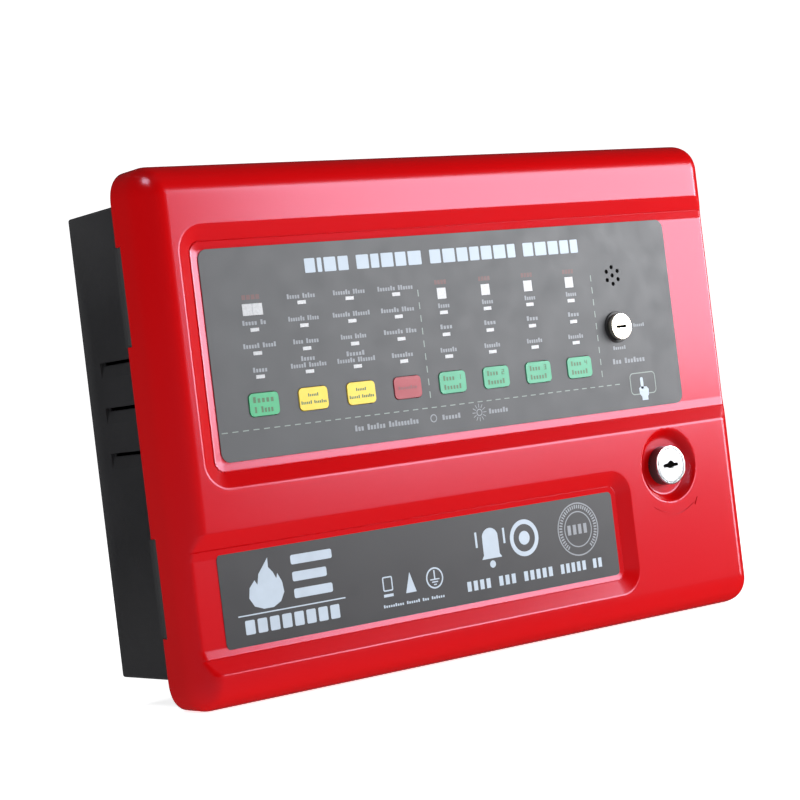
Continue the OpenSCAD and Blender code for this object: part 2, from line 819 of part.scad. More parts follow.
module transformer_frame() color("silver") upright() {
    y = [core_at[1] + 5, core_at[1] + core[1] - 5];
    high = core_at[2] + core[2] + 0.3;
    left = core_at[0] - 0.3;
    right = core_at[0] + core[0] + 0.3;
    t = 0.8;
    foot = box_wall + 1;
    difference() {
        union() {
            block([left - t, right + t, y[0], y[1]], high, high + t);
            for (x = [left - t, right]) block([x, x + t, y[0], y[1]], foot, high + t);
            block([ear_x[0] - 5, left, y[0], y[1]], foot, foot + t);
            block([right, ear_x[1] + 5, y[0], y[1]], foot, foot + t);
        }
        for (x = ear_x) rod([x, mid(y)], board_hole_r, 0, high);
    }
}

module transformer_screws() color("silver") upright()
    for (x = ear_x) screw([x, core_at[1] + core[1] / 2], box_wall - 1, box_wall + 1.8);

// ---- Batteries ----

module battery_case(x) {
    b = [x, x + battery[0], battery_bottom, battery_bottom + battery[1]];
    low = battery_floor;
    high = battery_floor + battery[2];
    difference() {
        plate(b, 1.5, low, high);
        // Joint between the case and its lid, near the end with the tabs
        for (h = [[low - slack, low + 0.5], [high - 0.5, high + slack]])
            block([x - slack, x + battery[0] + slack, b[3] - 9, b[3] - 8.4], h[0], h[1]);
    }
}

module battery_left() color([0.2, 0.21, 0.24]) upright() battery_case(battery_starts[0]);
module battery_right() color([0.2, 0.21, 0.24]) upright() battery_case(battery_starts[1]);

module battery_tabs() color("gold") upright()
    for (x = battery_starts, dx = [12, battery[0] - 12]) {
        y = battery_bottom + battery[1];
        block([x + dx - 2.4, x + dx + 2.4, y, y + 6.5], battery_floor + 9, battery_floor + 9.8);
    }

module battery_clamp() color("lightgray") upright() {
    high = battery_floor + battery[2] + 0.4;
    left = battery_starts[0] - 0.5;
    right = battery_starts[1] + battery[0] + 0.5;
    foot = box_wall + 2;
    difference() {
        union() {
            block([left - clamp_t, right + clamp_t, clamp_y[0], clamp_y[1]], high, high + clamp_t);
            for (x = [left - clamp_t, right])
                block([x, x + clamp_t, clamp_y[0], clamp_y[1]], foot, high + clamp_t);
            block([clamp_feet[0] - 4, left, clamp_y[0], clamp_y[1]], foot, foot + clamp_t);
            block([right, clamp_feet[1] + 4, clamp_y[0], clamp_y[1]], foot, foot + clamp_t);
        }
        for (x = clamp_feet) rod([x, mid(clamp_y)], board_hole_r, 0, front);
    }
}

module clamp_screws() color("silver") upright()
    for (x = clamp_feet) screw([x, mid(clamp_y)], box_wall - 1, box_wall + 2 + clamp_t);

back_box();
hinge_pins();
blanking_plugs();
lock_strike();
strike_screws();
main_board();
board_screws();
zone_terminals();
terminal_screws();
relays();
capacitors();
control_chips();
heat_sink();
board_header();
mains_terminal();
fuse_holder();
mains_fuse();
earth_stud();
transformer_core();
transformer_coil();
transformer_frame();
transformer_screws();
battery_left();
battery_right();
battery_tabs();
battery_clamp();
clamp_screws();
door_cover();
upper_overlay();
lower_label();
display_board();
display_screws();
indicator_lamps();
alarm_lamps();
tact_switches();
buzzer();
display_chips();
display_header();
key_switch_bezel();
key_switch_body();
key_switch_nut();
key_switch_plug();
lock_body();
lock_nut();
lock_plug();
lock_cam();
cam_screw();
button_1();
button_2();
button_3();
button_4();
button_5();
button_6();
button_7();
button_8();
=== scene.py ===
import json
from math import asin, copysign, cos, hypot, pi, radians, sin, sqrt, tan

import bmesh
import bpy
from mathutils import Matrix, Vector


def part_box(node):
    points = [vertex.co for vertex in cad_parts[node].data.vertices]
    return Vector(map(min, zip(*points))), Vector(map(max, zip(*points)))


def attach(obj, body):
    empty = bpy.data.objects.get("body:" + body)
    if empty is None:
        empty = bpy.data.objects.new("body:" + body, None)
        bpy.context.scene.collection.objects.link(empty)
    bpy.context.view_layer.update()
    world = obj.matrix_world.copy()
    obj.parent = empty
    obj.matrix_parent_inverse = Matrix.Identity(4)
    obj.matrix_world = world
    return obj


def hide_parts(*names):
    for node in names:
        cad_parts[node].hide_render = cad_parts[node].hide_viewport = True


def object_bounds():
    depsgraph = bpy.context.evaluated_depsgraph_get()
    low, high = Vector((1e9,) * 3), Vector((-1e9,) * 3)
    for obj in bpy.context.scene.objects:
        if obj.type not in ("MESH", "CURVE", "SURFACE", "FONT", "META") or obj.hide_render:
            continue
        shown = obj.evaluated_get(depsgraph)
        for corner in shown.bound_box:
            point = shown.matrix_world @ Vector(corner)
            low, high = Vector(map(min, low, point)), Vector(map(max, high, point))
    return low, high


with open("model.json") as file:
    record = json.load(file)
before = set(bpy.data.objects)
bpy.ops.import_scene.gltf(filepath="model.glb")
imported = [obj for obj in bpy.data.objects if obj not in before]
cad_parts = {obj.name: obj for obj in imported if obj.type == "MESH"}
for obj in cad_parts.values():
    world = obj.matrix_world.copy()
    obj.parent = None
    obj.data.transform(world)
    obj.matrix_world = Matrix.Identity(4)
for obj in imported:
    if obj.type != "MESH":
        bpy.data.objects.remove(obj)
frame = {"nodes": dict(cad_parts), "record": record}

# Fire alarm control panel. Sizes are in millimetres in the panel's own frame, and MM turns them into
# metres. X runs right, Y into the wall and Z up, and a height is a distance in front of the wall.
MM = 0.001
studio = bpy.context.scene
cad_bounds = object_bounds()


def limits(node):
    """The lowest and highest corner of a CAD node, in millimetres."""
    low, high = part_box(node)
    return low / MM, high / MM


def centre(node):
    """The x and z of a CAD node's middle."""
    low, high = limits(node)
    middle = (low + high) / 2
    return middle.x, middle.z


def front_of(node):
    """The height of a CAD node's front."""
    return -limits(node)[0].y


def rear_of(node):
    return -limits(node)[1].y


# ---- driving dimensions

door_low, door_high = limits("door_cover")
FRONT = front_of("door_cover")
RIM = rear_of("door_cover")
HALF_W = (door_high.x - door_low.x) / 2
HALF_H = (door_high.z - door_low.z) / 2
DOOR_WALL = 2.8
# The door's rounded edge is a quarter ellipse, wider at the top and bottom than at the sides
FILLET_X = 12.0
FILLET_Z = 16.0
FILLET_DEPTH = 18.0
FILLET_STEPS = 20
CORNER = 2.4  # 2 is an elliptical corner, and more is squarer
SKIRT_SOFT = 0.5  # roundness of the skirt's back edges
INSIDE_GROW = 2.0  # the recesses are this much wider behind the wall
BLEND = 1.6  # rounds the meeting of the rounded edge and a recess

FLOOR = rear_of("upper_overlay")
OVERLAY_TOP = front_of("upper_overlay")
LABEL_TOP = front_of("lower_label")
RECESS = FRONT - FLOOR

# The floor of a recess tips up round its edge, bends, and runs straight up to a small edge on the front
WALL_RUN = 8.5
TIP_RUN = 3.6
TIP = radians(13)
WALL_BEND_R = 2.5
WALL_BEND = radians(27.8)
WALL_EDGE_R = 0.3
FLOOR_R = 5.0
UPPER = (-158.3, HALF_W + 40, -17.7, 91.3)
LOWER = (-HALF_W - 40, 87.9, -104.1, -54.5)

LOCK = centre("lock_body")
LOCK_FACE = front_of("lock_body")
LOCK_R = 10.6  # the lock's head
LOCK_RIM_R = 9.5  # inside of its bright rim
LOCK_WELL_R = 9.06  # the well in which the plug's face lies
LOCK_BORE_R = 6.25
SHANK_R = 9.2
SHANK_HOLE_R = 9.5
DISH_R = 20.0
DISH_FLOOR_R = 15.5
DISH_DEPTH = 5.0

KEY = centre("key_switch_bezel")
KEY_FACE = front_of("key_switch_body")
KEY_R = 7.2  # the key switch's head
KEY_COLLAR_R = 8.5
KEY_STEM_R = 6.0
KEY_BORE_R = 4.8
KEY_HOLE_R = 6.3

BUTTONS = [f"button_{i}" for i in range(1, 9)]
COLUMNS = [centre(b)[0] for b in BUTTONS]
BUTTON_Z = centre("button_1")[1]
BUTTON_TOP = front_of("button_1")
BUTTON_W = 16.8
BUTTON_H = 11.0
BUTTON_R = 2.2
BUTTON_GAP = 0.35
LAMP_W = 5.0
LAMP_H = 1.8
ALARM_LAMP = 5.7  # width and height, and a pair is twice as wide
ROWS = [59.1 - 11.35 * j for j in range(4)]
ALARM_Z = centre("alarm_lamps")[1]
FIRST_ZONE = 4
BUZZER = centre("buzzer")
SOUND_RING_R = 4.55
SOUND_HOLE_R = 1.2
BOARD_TOP = front_of("display_board")
HINGE_X = -HALF_W + 2.4
HINGE_H = RIM + 2
PIN_HOLE_R = 1.16
LUG_X = HINGE_X + 3.4
CLEAR = 0.01  # parts that lie on each other are drawn this far apart


# ---- materials

def socket(node, name, value):
    node.inputs[name].default_value = value


def colour(rgb):
    return (rgb[0], rgb[1], rgb[2], 1.0)


def ranged(tree, value, *ends):
    """A node that maps a value from one range to another."""
    node = tree.nodes.new("ShaderNodeMapRange")
    for name, end in zip(("From Min", "From Max", "To Min", "To Max"), ends):
        socket(node, name, end)
    tree.links.new(value, node.inputs["Value"])
    return node


def blend(tree, factor, first, second):
    """The output of a node that mixes two colours, each given as a socket or as red, green and blue."""
    mix = tree.nodes.new("ShaderNodeMix")
    mix.data_type = "RGBA"
    tree.links.new(factor, mix.inputs[0])
    for source, target in ((first, mix.inputs[6]), (second, mix.inputs[7])):
        if isinstance(source, bpy.types.NodeSocket):
            tree.links.new(source, target)
        else:
            target.default_value = colour(source)
    return mix.outputs[2]


def material(name, base, rough, metal=0.0, tint=0.06, tint_scale=30.0, rough_spread=0.08,
             grain=0.0, grain_scale=2500.0, dents=0.0, dents_scale=60.0, coat=0.0, edge=0.0,
             edge_tone=0.0, specular=0.5, stretch=(1.0, 1.0, 1.0)):
    """A surface with mottled colour, uneven roughness, fine grain and broad unevenness.
    edge is the radius in metres that sharp edges are softened by, and edge_tone lightens worn edges."""
    m = bpy.data.materials.new(name)
    m.use_nodes = True
    nodes, links = m.node_tree.nodes, m.node_tree.links
    shader = nodes["Principled BSDF"]
    socket(shader, "Metallic", metal)
    socket(shader, "Specular IOR Level", specular)
    socket(shader, "Coat Weight", coat)
    socket(shader, "Coat Roughness", 0.12)

    place = nodes.new("ShaderNodeTexCoord")
    mapping = nodes.new("ShaderNodeMapping")
    socket(mapping, "Scale", stretch)
    links.new(place.outputs["Object"], mapping.inputs["Vector"])
    where = mapping.outputs["Vector"]

    def noise(scale, detail=3.0):
        n = nodes.new("ShaderNodeTexNoise")
        socket(n, "Scale", scale)
        socket(n, "Detail", detail)
        links.new(where, n.inputs["Vector"])
        return n.outputs["Fac"]

    mottled = blend(m.node_tree, noise(tint_scale), [c * (1 - 2 * tint) for c in base],
                    [min(1.0, c * (1 + 2 * tint)) for c in base])
    if edge_tone:
        geometry = nodes.new("ShaderNodeNewGeometry")
        worn = nodes.new("ShaderNodeValToRGB")
        worn.color_ramp.elements[0].position = 0.52
        worn.color_ramp.elements[1].position = 0.62
        links.new(geometry.outputs["Pointiness"], worn.inputs["Fac"])
        mottled = blend(m.node_tree, worn.outputs["Color"], mottled, [min(1.0, c + edge_tone) for c in base])
    links.new(mottled, shader.inputs["Base Color"])

    spread = ranged(m.node_tree, noise(tint_scale * 2.3), 0.2, 0.8,
                    max(0.02, rough - rough_spread), min(1.0, rough + rough_spread))
    spread.clamp = False
    links.new(spread.outputs["Result"], shader.inputs["Roughness"])

    normal = None
    if edge:
        soft = nodes.new("ShaderNodeBevel")
        soft.samples = 4
        socket(soft, "Radius", edge)
        normal = soft.outputs["Normal"]
    for height, scale, distance in ((dents, dents_scale, 0.001), (grain, grain_scale, 0.0002)):
        if height:
            bump = nodes.new("ShaderNodeBump")
            socket(bump, "Strength", height)
            socket(bump, "Distance", distance)
            links.new(noise(scale), bump.inputs["Height"])
            if normal:
                links.new(normal, bump.inputs["Normal"])
            normal = bump.outputs["Normal"]
    if normal:
        links.new(normal, shader.inputs["Normal"])
    return m


def family(rough, bases, **look):
    """Materials that differ only in colour, in the order given."""
    return [material(name, base, rough, **look) for name, base in bases.items()]


DOOR_RED = material("door_red", (0.49, 0.0003, 0.0006), 0.21, tint=0.008, tint_scale=9, rough_spread=0.008,
    grain=0.06, grain_scale=2600, specular=0.6)
socket(DOOR_RED.node_tree.nodes["Principled BSDF"], "Specular Tint", (0.85, 0.70, 0.96, 1.0))
CASE_BLACK = material("case_black", (0.022, 0.022, 0.024), 0.52, tint=0.14, tint_scale=25, grain=0.5,
    grain_scale=2200, dents=0.05, edge_tone=0.02)
OVERLAY_GREY = material("overlay_grey", (0.084, 0.088, 0.093), 0.48, tint=0.02, tint_scale=35, grain=0.1,
    grain_scale=3000, specular=0.42)
LABEL_GREY = material("label_grey", (0.040, 0.041, 0.044), 0.40, tint=0.03, tint_scale=35, grain=0.1,
    grain_scale=3000)
# The colours of the print are those of the photograph, in which fine lettering blurs into its ground
PRINT_WHITE = material("print_white", (0.42, 0.50, 0.58), 0.45, tint=0.04, grain=0.1)
PRINT_SOFT, PRINT_LINE, PRINT_RED = family(0.45, {
    "print_soft": (0.24, 0.26, 0.285), "print_line": (0.24, 0.29, 0.27), "print_red": (0.14, 0.075, 0.075)},
    tint=0.08, tint_scale=300, grain=0.1)
PRINT_LABEL = material("print_label", (0.42, 0.50, 0.58), 0.42, tint=0.05, tint_scale=120, grain=0.1)
PRINT_DARK, PRINT_BUTTON_RED = family(0.45, {
    "print_dark": (0.07, 0.16, 0.08), "print_button_red": (0.22, 0.07, 0.08)},
    tint=0.1, tint_scale=300, grain=0.1)
LAMP = material("lamp_milky", (0.40, 0.415, 0.43), 0.28, tint=0.05, tint_scale=500, grain=0.1, coat=0.3)
KEY_GREEN, KEY_YELLOW, KEY_RED, KEY_MINT = family(0.34, {
    "key_green": (0.055, 0.38, 0.175), "key_yellow": (0.74, 0.56, 0.048), "key_red": (0.33, 0.034, 0.050),
    "key_mint": (0.064, 0.36, 0.205)}, tint=0.05, tint_scale=90, grain=0.2)
CHROME = material("chrome", (0.86, 0.86, 0.87), 0.22, metal=1.0, tint=0.02, rough_spread=0.03,
    grain=0.04, grain_scale=900, dents=0.02, dents_scale=150, edge=0.00015)
NICKEL = material("nickel", (0.74, 0.70, 0.60), 0.24, metal=1.0, tint=0.03, rough_spread=0.05,
    grain=0.08, grain_scale=1500, edge=0.00012)
ZINC = material("zinc", (0.58, 0.59, 0.60), 0.44, metal=0.9, tint=0.05, tint_scale=120, rough_spread=0.03,
    grain=0.2, grain_scale=1800, edge=0.0002)
BRASS = material("brass", (0.76, 0.56, 0.24), 0.30, metal=1.0, tint=0.1, tint_scale=150, grain=0.15,
    edge=0.0002)
ALUMINIUM = material("aluminium", (0.72, 0.73, 0.75), 0.38, metal=1.0, tint=0.06, tint_scale=90, grain=0.3,
    grain_scale=700, edge=0.0002, stretch=(1.0, 0.05, 1.0))
BLACK_MOULD = material("black_mould", (0.018, 0.018, 0.02), 0.45, tint=0.15, tint_scale=200, grain=0.35,
    edge=0.0002)
# Near black: painted shade in the keyways and sound holes, and the black ink of the key switch's marks
HOLE_SHADE_AND_INK = material("hole_shade_and_ink", (0.002, 0.002, 0.002), 0.9, tint=0.2, specular=0.03)
# Painted shade: the lock head's chromed side and shank get a dark grey metal, so their dark reflections are
# painted into the colour
LOCK_SIDE_PAINTED_SHADE = material("lock_side_painted_shade", (0.09, 0.095, 0.1), 0.32, metal=0.7, tint=0.05, grain=0.1)
WIRE_RED, WIRE_YELLOW, WIRE_BROWN, WIRE_BLUE, WIRE_GREEN = family(0.42, {
    "wire_red": (0.42, 0.012, 0.012), "wire_yellow": (0.62, 0.46, 0.03), "wire_brown": (0.11, 0.042, 0.016),
    "wire_blue": (0.02, 0.07, 0.34), "wire_green": (0.06, 0.30, 0.03)}, tint=0.06, tint_scale=150, grain=0.15)
SEAM_GREY = material("seam_grey", (0.20, 0.21, 0.23), 0.6, tint=0.05, specular=0.2)
TERMINAL_GREEN = material("terminal_green", (0.02, 0.26, 0.09), 0.42, tint=0.08, tint_scale=120, grain=0.3,
    edge=0.0003)
TERMINAL_WHITE = material("terminal_white", (0.70, 0.70, 0.66), 0.42, tint=0.05, tint_scale=120, grain=0.3,
    edge=0.0003)
RELAY_BLUE = material("relay_blue", (0.02, 0.07, 0.30), 0.30, tint=0.08, tint_scale=120, grain=0.2,
    edge=0.0004)
SLEEVE = material("capacitor_sleeve", (0.015, 0.022, 0.055), 0.28, tint=0.15, tint_scale=150, grain=0.2,
    edge=0.0003)
LAMINATION = material("lamination", (0.11, 0.11, 0.12), 0.50, metal=0.4, tint=0.08, tint_scale=900,
    rough_spread=0.03, grain=0.3, grain_scale=900, stretch=(0.02, 1.0, 0.02))
COIL_TAPE = material("coil_tape", (0.70, 0.42, 0.07), 0.30, tint=0.10, tint_scale=150, grain=0.3, dents=0.2,
    dents_scale=250, edge=0.0004)
BATTERY = material("battery_case", (0.055, 0.06, 0.07), 0.46, tint=0.12, tint_scale=60, grain=0.4, dents=0.1,
    edge=0.0005)
RUBBER = material("rubber", (0.016, 0.016, 0.016), 0.70, tint=0.2, tint_scale=200, grain=0.5, edge=0.0003)
GLASS = material("fuse_glass", (0.80, 0.84, 0.84), 0.08, tint=0.04, coat=0.4)


def board_material():
    """Green solder mask with copper tracks and pads that show through it."""
    m = material("solder_mask", (0.012, 0.125, 0.045), 0.32, tint=0.10, tint_scale=60, grain=0.15, coat=0.2)
    nodes, links = m.node_tree.nodes, m.node_tree.links
    shader = nodes["Principled BSDF"]
    source = shader.inputs["Base Color"].links[0].from_socket
    place = nodes.new("ShaderNodeTexCoord")
    tracks = nodes.new("ShaderNodeTexBrick")
    socket(tracks, "Scale", 90.0)
    socket(tracks, "Mortar Size", 0.035)
    socket(tracks, "Color1", colour((0, 0, 0)))
    socket(tracks, "Color2", colour((0, 0, 0)))
    socket(tracks, "Mortar", colour((1, 1, 1)))
    turn = nodes.new("ShaderNodeMapping")
    socket(turn, "Rotation", (radians(90), 0, 0))
    links.new(place.outputs["Object"], turn.inputs["Vector"])
    links.new(turn.outputs["Vector"], tracks.inputs["Vector"])
    tracked = blend(m.node_tree, tracks.outputs["Color"], source, (0.016, 0.155, 0.056))
    links.new(tracked, shader.inputs["Base Color"])
    return m


BOARD = board_material()


# ---- mesh helpers

SMOOTH_ANGLE = radians(35)


def mesh_object(name, verts, faces, surface=None):
    """An object from points in metres."""
    mesh = bpy.data.meshes.new(name)
    mesh.from_pydata(verts, [], faces)
    mesh.update()
    if surface:
        mesh.materials.append(surface)
    obj = bpy.data.objects.new(name, mesh)
    studio.collection.objects.link(obj)
    return obj


def shade(obj):
    obj.data.shade_smooth()
    obj.data.set_sharp_from_angle(angle=SMOOTH_ANGLE)


def solid(name, verts, faces, surface=None):
    """A closed solid from points in millimetres, with doubled points welded and its faces turned out."""
    obj = mesh_object(name, [[c * MM for c in v] for v in verts], faces, surface)
    bm = bmesh.new()
    bm.from_mesh(obj.data)
    bmesh.ops.remove_doubles(bm, verts=bm.verts, dist=1e-7)
    bmesh.ops.dissolve_degenerate(bm, edges=bm.edges, dist=1e-7)
    bmesh.ops.recalc_face_normals(bm, faces=bm.faces)
    bm.to_mesh(obj.data)
    bm.free()
    shade(obj)
    return obj


def finish_piece(obj, body, replaces=()):
    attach(obj, body)
    if replaces:
        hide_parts(*replaces)
    return obj


def polar(cx, cz, r, degrees):
    a = radians(degrees)
    return cx + r * cos(a), cz + r * sin(a)


def arc(cx, cz, r, start, end, steps):
    """Points on an arc in the XZ plane, with angles in degrees."""
    return [polar(cx, cz, r, start + (end - start) * i / steps) for i in range(steps + 1)]


def circle(cx, cz, r, steps):
    return arc(cx, cz, r, 0, 360 - 360 / steps, steps - 1)


def round_rect(x0, x1, z0, z1, r, steps=8):
    return (arc(x1 - r, z1 - r, r, 0, 90, steps) + arc(x0 + r, z1 - r, r, 90, 180, steps)
            + arc(x0 + r, z0 + r, r, 180, 270, steps) + arc(x1 - r, z0 + r, r, 270, 360, steps))


class Shapes:
    """Collects closed solids made from outlines in the XZ plane, which become one piece."""

    def __init__(self):
        self.verts = []
        self.faces = []

    def skin(self, loops, closed):
        """Faces from loop to loop of (x, height, z) points, and from the last to the first if closed."""
        first, n = len(self.verts), len(loops[0])
        for loop in loops:
            self.verts += [(x, -h, z) for x, h, z in loop]
        for k in range(len(loops) if closed else len(loops) - 1):
            a, b = first + k * n, first + (k + 1) % len(loops) * n
            self.faces += [(a + i, a + (i + 1) % n, b + (i + 1) % n, b + i) for i in range(n)]
        return range(first, first + n), range(len(self.verts) - n, len(self.verts))

    def loft(self, loops):
        """A solid through loops, closed at both ends."""
        start, end = self.skin(loops, False)
        self.faces += [tuple(reversed(start)), tuple(end)]

    def slab(self, outline, low, high):
        self.loft([[(x, h, z) for x, z in outline] for h in (low, high)])

    def box(self, x0, x1, z0, z1, low, high):
        self.slab([(x0, z0), (x1, z0), (x1, z1), (x0, z1)], low, high)

    def ring(self, outer, inner, low, high):
        """A flat ring between two outlines with the same number of points."""
        self.skin([[(x, h, z) for x, z in outline]
                   for outline, h in ((outer, low), (outer, high), (inner, high), (inner, low))], True)

    def bar(self, cx, cz, half_w, half_h, low, high, r, steps=4):
        """A block about a centre, with its four upright edges rounded."""
        self.slab(round_rect(cx - half_w, cx + half_w, cz - half_h, cz + half_h, r, steps), low, high)

    def disc(self, cx, cz, r, low, high, steps=48):
        self.slab(circle(cx, cz, r, steps), low, high)

    def hoop(self, cx, cz, r, width, low, high, steps=48):
        self.ring(circle(cx, cz, r, steps), circle(cx, cz, r - width, steps), low, high)

    def rod_up(self, x, height, r, z0, z1):
        """A rod that runs up the panel."""
        self.loft([[(px, h, z) for px, h in circle(x, height, r, 32)] for z in (z0, z1)])

    def tube(self, points, r):
        """A round wire that runs smoothly through points, each (x, height, z)."""
        sides, steps = 10, 6
        points = [Vector(p) for p in points]
        ends = [2 * points[0] - points[1]] + points + [2 * points[-1] - points[-2]]
        line = []
        for a, b, c, d in zip(ends, ends[1:], ends[2:], ends[3:]):
            for k in range(steps):
                t = k / steps
                line.append(0.5 * (2 * b + (c - a) * t + (2 * a - 5 * b + 4 * c - d) * t * t
                                   + (3 * b - a - 3 * c + d) * t * t * t))
        line.append(points[-1])
        across = (line[1] - line[0]).orthogonal().normalized()
        loops = []
        for k, middle_point in enumerate(line):
            along = (line[min(k + 1, len(line) - 1)] - line[max(k - 1, 0)]).normalized()
            across = (across - along * across.dot(along)).normalized()
            third = along.cross(across)
            loops.append([tuple(middle_point + r * (across * cos(2 * pi * i / sides)
                                                    + third * sin(2 * pi * i / sides)))
                          for i in range(sides)])
        self.loft(loops)

    def lathe(self, cx, cz, profile):
        """Solid of revolution about an axis through (cx, cz), from (radius, height) points."""
        turns = circle(0, 0, 1, 96)
        self.skin([[(cx + r * c, h, cz + r * s) for r, h in profile] for c, s in turns], True)

    def make(self, name, surface, body, slot, replaces=()):
        """The shapes as one piece, riding on a CAD body."""
        return finish_piece(solid(name, self.verts, self.faces, surface), body, replaces)


def cut(obj, shapes):
    """Cuts shapes out of an object."""
    cutter = solid("cutter", shapes.verts, shapes.faces)
    modifier = obj.modifiers.new("cut", "BOOLEAN")
    modifier.operation = "DIFFERENCE"
    modifier.solver = "MANIFOLD"
    modifier.object = cutter
    graph = bpy.context.evaluated_depsgraph_get()
    mesh = bpy.data.meshes.new_from_object(obj.evaluated_get(graph))
    obj.modifiers.remove(modifier)
    obj.data = mesh
    bpy.data.objects.remove(cutter)


# ---- door cover

def smooth_max(a, b, k):
    """The larger of a and b, with the change from one to the other rounded over about k."""
    k = min(k, 4 * min(a, b))
    if k <= 0:
        return max(a, b)
    h = max(k - abs(a - b), 0) / k
    return max(a, b) + h * h * k / 4


def outside(x, z, b, r):
    """Distance outwards from a rectangle (left, right, bottom, top) with round corners of radius r."""
    qx = abs(x - (b[0] + b[1]) / 2) - (b[1] - b[0]) / 2 + r
    qz = abs(z - (b[2] + b[3]) / 2) - (b[3] - b[2]) / 2 + r
    return hypot(max(qx, 0), max(qz, 0)) + min(max(qx, qz), 0) - r


def wall_depth(d):
    """Depth below the door's front at a distance d outwards from a recess floor."""
    edge = WALL_RUN + WALL_EDGE_R * tan(WALL_BEND / 2)
    if d <= -TIP_RUN:
        return RECESS
    if d >= edge:
        return 0.0
    if d <= 0:
        return RECESS - (d + TIP_RUN) * tan(TIP)
    if d > edge - WALL_EDGE_R * sin(WALL_BEND):
        return WALL_EDGE_R - sqrt(WALL_EDGE_R ** 2 - (edge - d) ** 2)
    bent = WALL_BEND_R * (sin(WALL_BEND) - sin(TIP))
    if d < bent:
        angle = asin(sin(TIP) + d / WALL_BEND_R)
        return RECESS - TIP_RUN * tan(TIP) - WALL_BEND_R * (cos(TIP) - cos(angle))
    return (WALL_RUN - d) * tan(WALL_BEND)


def recess_depth(x, z, grow):
    """Depth of the two recesses and the lock's dish. They are wider by grow behind the wall."""
    depth = 0.0
    for b in (UPPER, LOWER):
        depth = max(depth, wall_depth(outside(x, z, b, FLOOR_R) - grow))
    r = hypot(x - LOCK[0], z - LOCK[1]) - grow
    if r < DISH_R:
        t = max(0.0, (r - DISH_FLOOR_R) / (DISH_R - DISH_FLOOR_R))
        # The dish's wall leaves its floor gently and meets the front at an edge
        depth = max(depth, DISH_DEPTH * (1 - t ** 1.5 * (1.4 - 0.4 * t)))
    return depth


def spaced(stops):
    """Positions along a line of (end, step) stretches that follow a start."""
    out = [stops[0]]
    for end, step in stops[1:]:
        count = max(1, round((end - out[-1]) / step))
        start = out[-1]
        out += [start + (end - start) * (i + 1) / count for i in range(count)]
    return out


def door_grid(inset, grow):
    """Points of the door's front skin, row by row. An inset skin is the inside of the wall."""
    inner_x = spaced([-HALF_W + FILLET_X, (-151.5, 0.45), (82.5, 3.5), (97.2, 0.45), (104, 1.7), (149, 0.6),
                      (HALF_W - FILLET_X, 3)])
    inner_z = spaced([-HALF_H + FILLET_Z, (-98.5, 0.45), (-70, 3), (-60, 0.6), (-45.2, 0.45), (-25.4, 0.6),
                      (-12, 0.45), (85.5, 3.5), (100.6, 0.45), (HALF_H - FILLET_Z, 3)])
    n = FILLET_STEPS
    half_w, half_h = HALF_W - inset, HALF_H - inset
    rx, rz, deep = FILLET_X - inset, FILLET_Z - inset, FILLET_DEPTH - inset
    turn = [pi / 2 * k / n for k in range(n + 1)]
    reach = [cos(a) for a in turn]
    drop = [deep * (1 - sin(a)) for a in turn]
    cx, cz = half_w - rx, half_h - rz
    xs = [-cx - rx * c for c in reach[:-1]] + inner_x + [cx + rx * c for c in reversed(reach[:-1])]
    zs = [-cz - rz * c for c in reach[:-1]] + inner_z + [cz + rz * c for c in reversed(reach[:-1])]
    # In the corners the rows of the rounded edge close in on themselves, as nested rounded squares
    grid = []
    for j, z0 in enumerate(zs):
        row = []
        for i, x0 in enumerate(xs):
            a, b = min(i, len(xs) - 1 - i), min(j, len(zs) - 1 - j)
            k = min(a, b, n)
            x, z = x0, z0
            if a < n and b < n:
                along = (n - b) / (2 * (n - k)) if a == k else 1 - (n - a) / (2 * (n - k))
                over, up = cos(pi / 2 * along), sin(pi / 2 * along)
                size = reach[k] * (over ** CORNER + up ** CORNER) ** (-1 / CORNER)
                x = copysign(cx + rx * size * over, x0)
                z = copysign(cz + rz * size * up, z0)
            depth = smooth_max(drop[k], recess_depth(x, z, grow), BLEND)
            row.append((x, -(FRONT - inset - depth), z))
        grid.append(row)
    return grid


def border(rows, cols):
    """Indices round the edge of a grid, in order."""
    return ([(0, i) for i in range(cols)] + [(j, cols - 1) for j in range(1, rows)]
            + [(rows - 1, i) for i in range(cols - 2, -1, -1)] + [(j, 0) for j in range(rows - 2, 0, -1)])


def door_skin():
    """The door as one closed skin: its front, its skirt round to the back, and the inside of its wall."""
    outer = door_grid(0.0, 0.0)
    inner = door_grid(DOOR_WALL, INSIDE_GROW)
    rows, cols = len(outer), len(outer[0])
    verts = [p for row in outer for p in row] + [p for row in inner for p in row]
    second = rows * cols
    faces = []
    for j in range(rows - 1):
        for i in range(cols - 1):
            a = j * cols + i
            quad = (a, a + 1, a + cols + 1, a + cols)
            faces.append(quad)
            faces.append(tuple(second + v for v in reversed(quad)))
    edge = border(rows, cols)
    loops = [[j * cols + i for j, i in edge]]
    top = FRONT - FILLET_DEPTH
    skirt = [(0.0, top - (top - RIM - SKIRT_SOFT) * k / 5) for k in range(1, 6)]
    lip = [(SKIRT_SOFT * (1 - cos(a)), RIM + SKIRT_SOFT * (1 - sin(a)))
           for a in (pi / 6, pi / 3, pi / 2)]
    outside_half = skirt + lip
    for d, h in outside_half + [(DOOR_WALL - d, h) for d, h in reversed(outside_half)]:
        t = d / DOOR_WALL
        loop = []
        for j, i in edge:
            (xo, _, zo), (xi, _, zi) = outer[j][i], inner[j][i]
            loop.append(len(verts))
            verts.append((xo + (xi - xo) * t, -h, zo + (zi - zo) * t))
        loops.append(loop)
    loops.append([second + j * cols + i for j, i in edge])
    for a, b in zip(loops, loops[1:]):
        n = len(a)
        faces += [(a[i], b[i], b[(i + 1) % n], a[(i + 1) % n]) for i in range(n)]
    return verts, faces


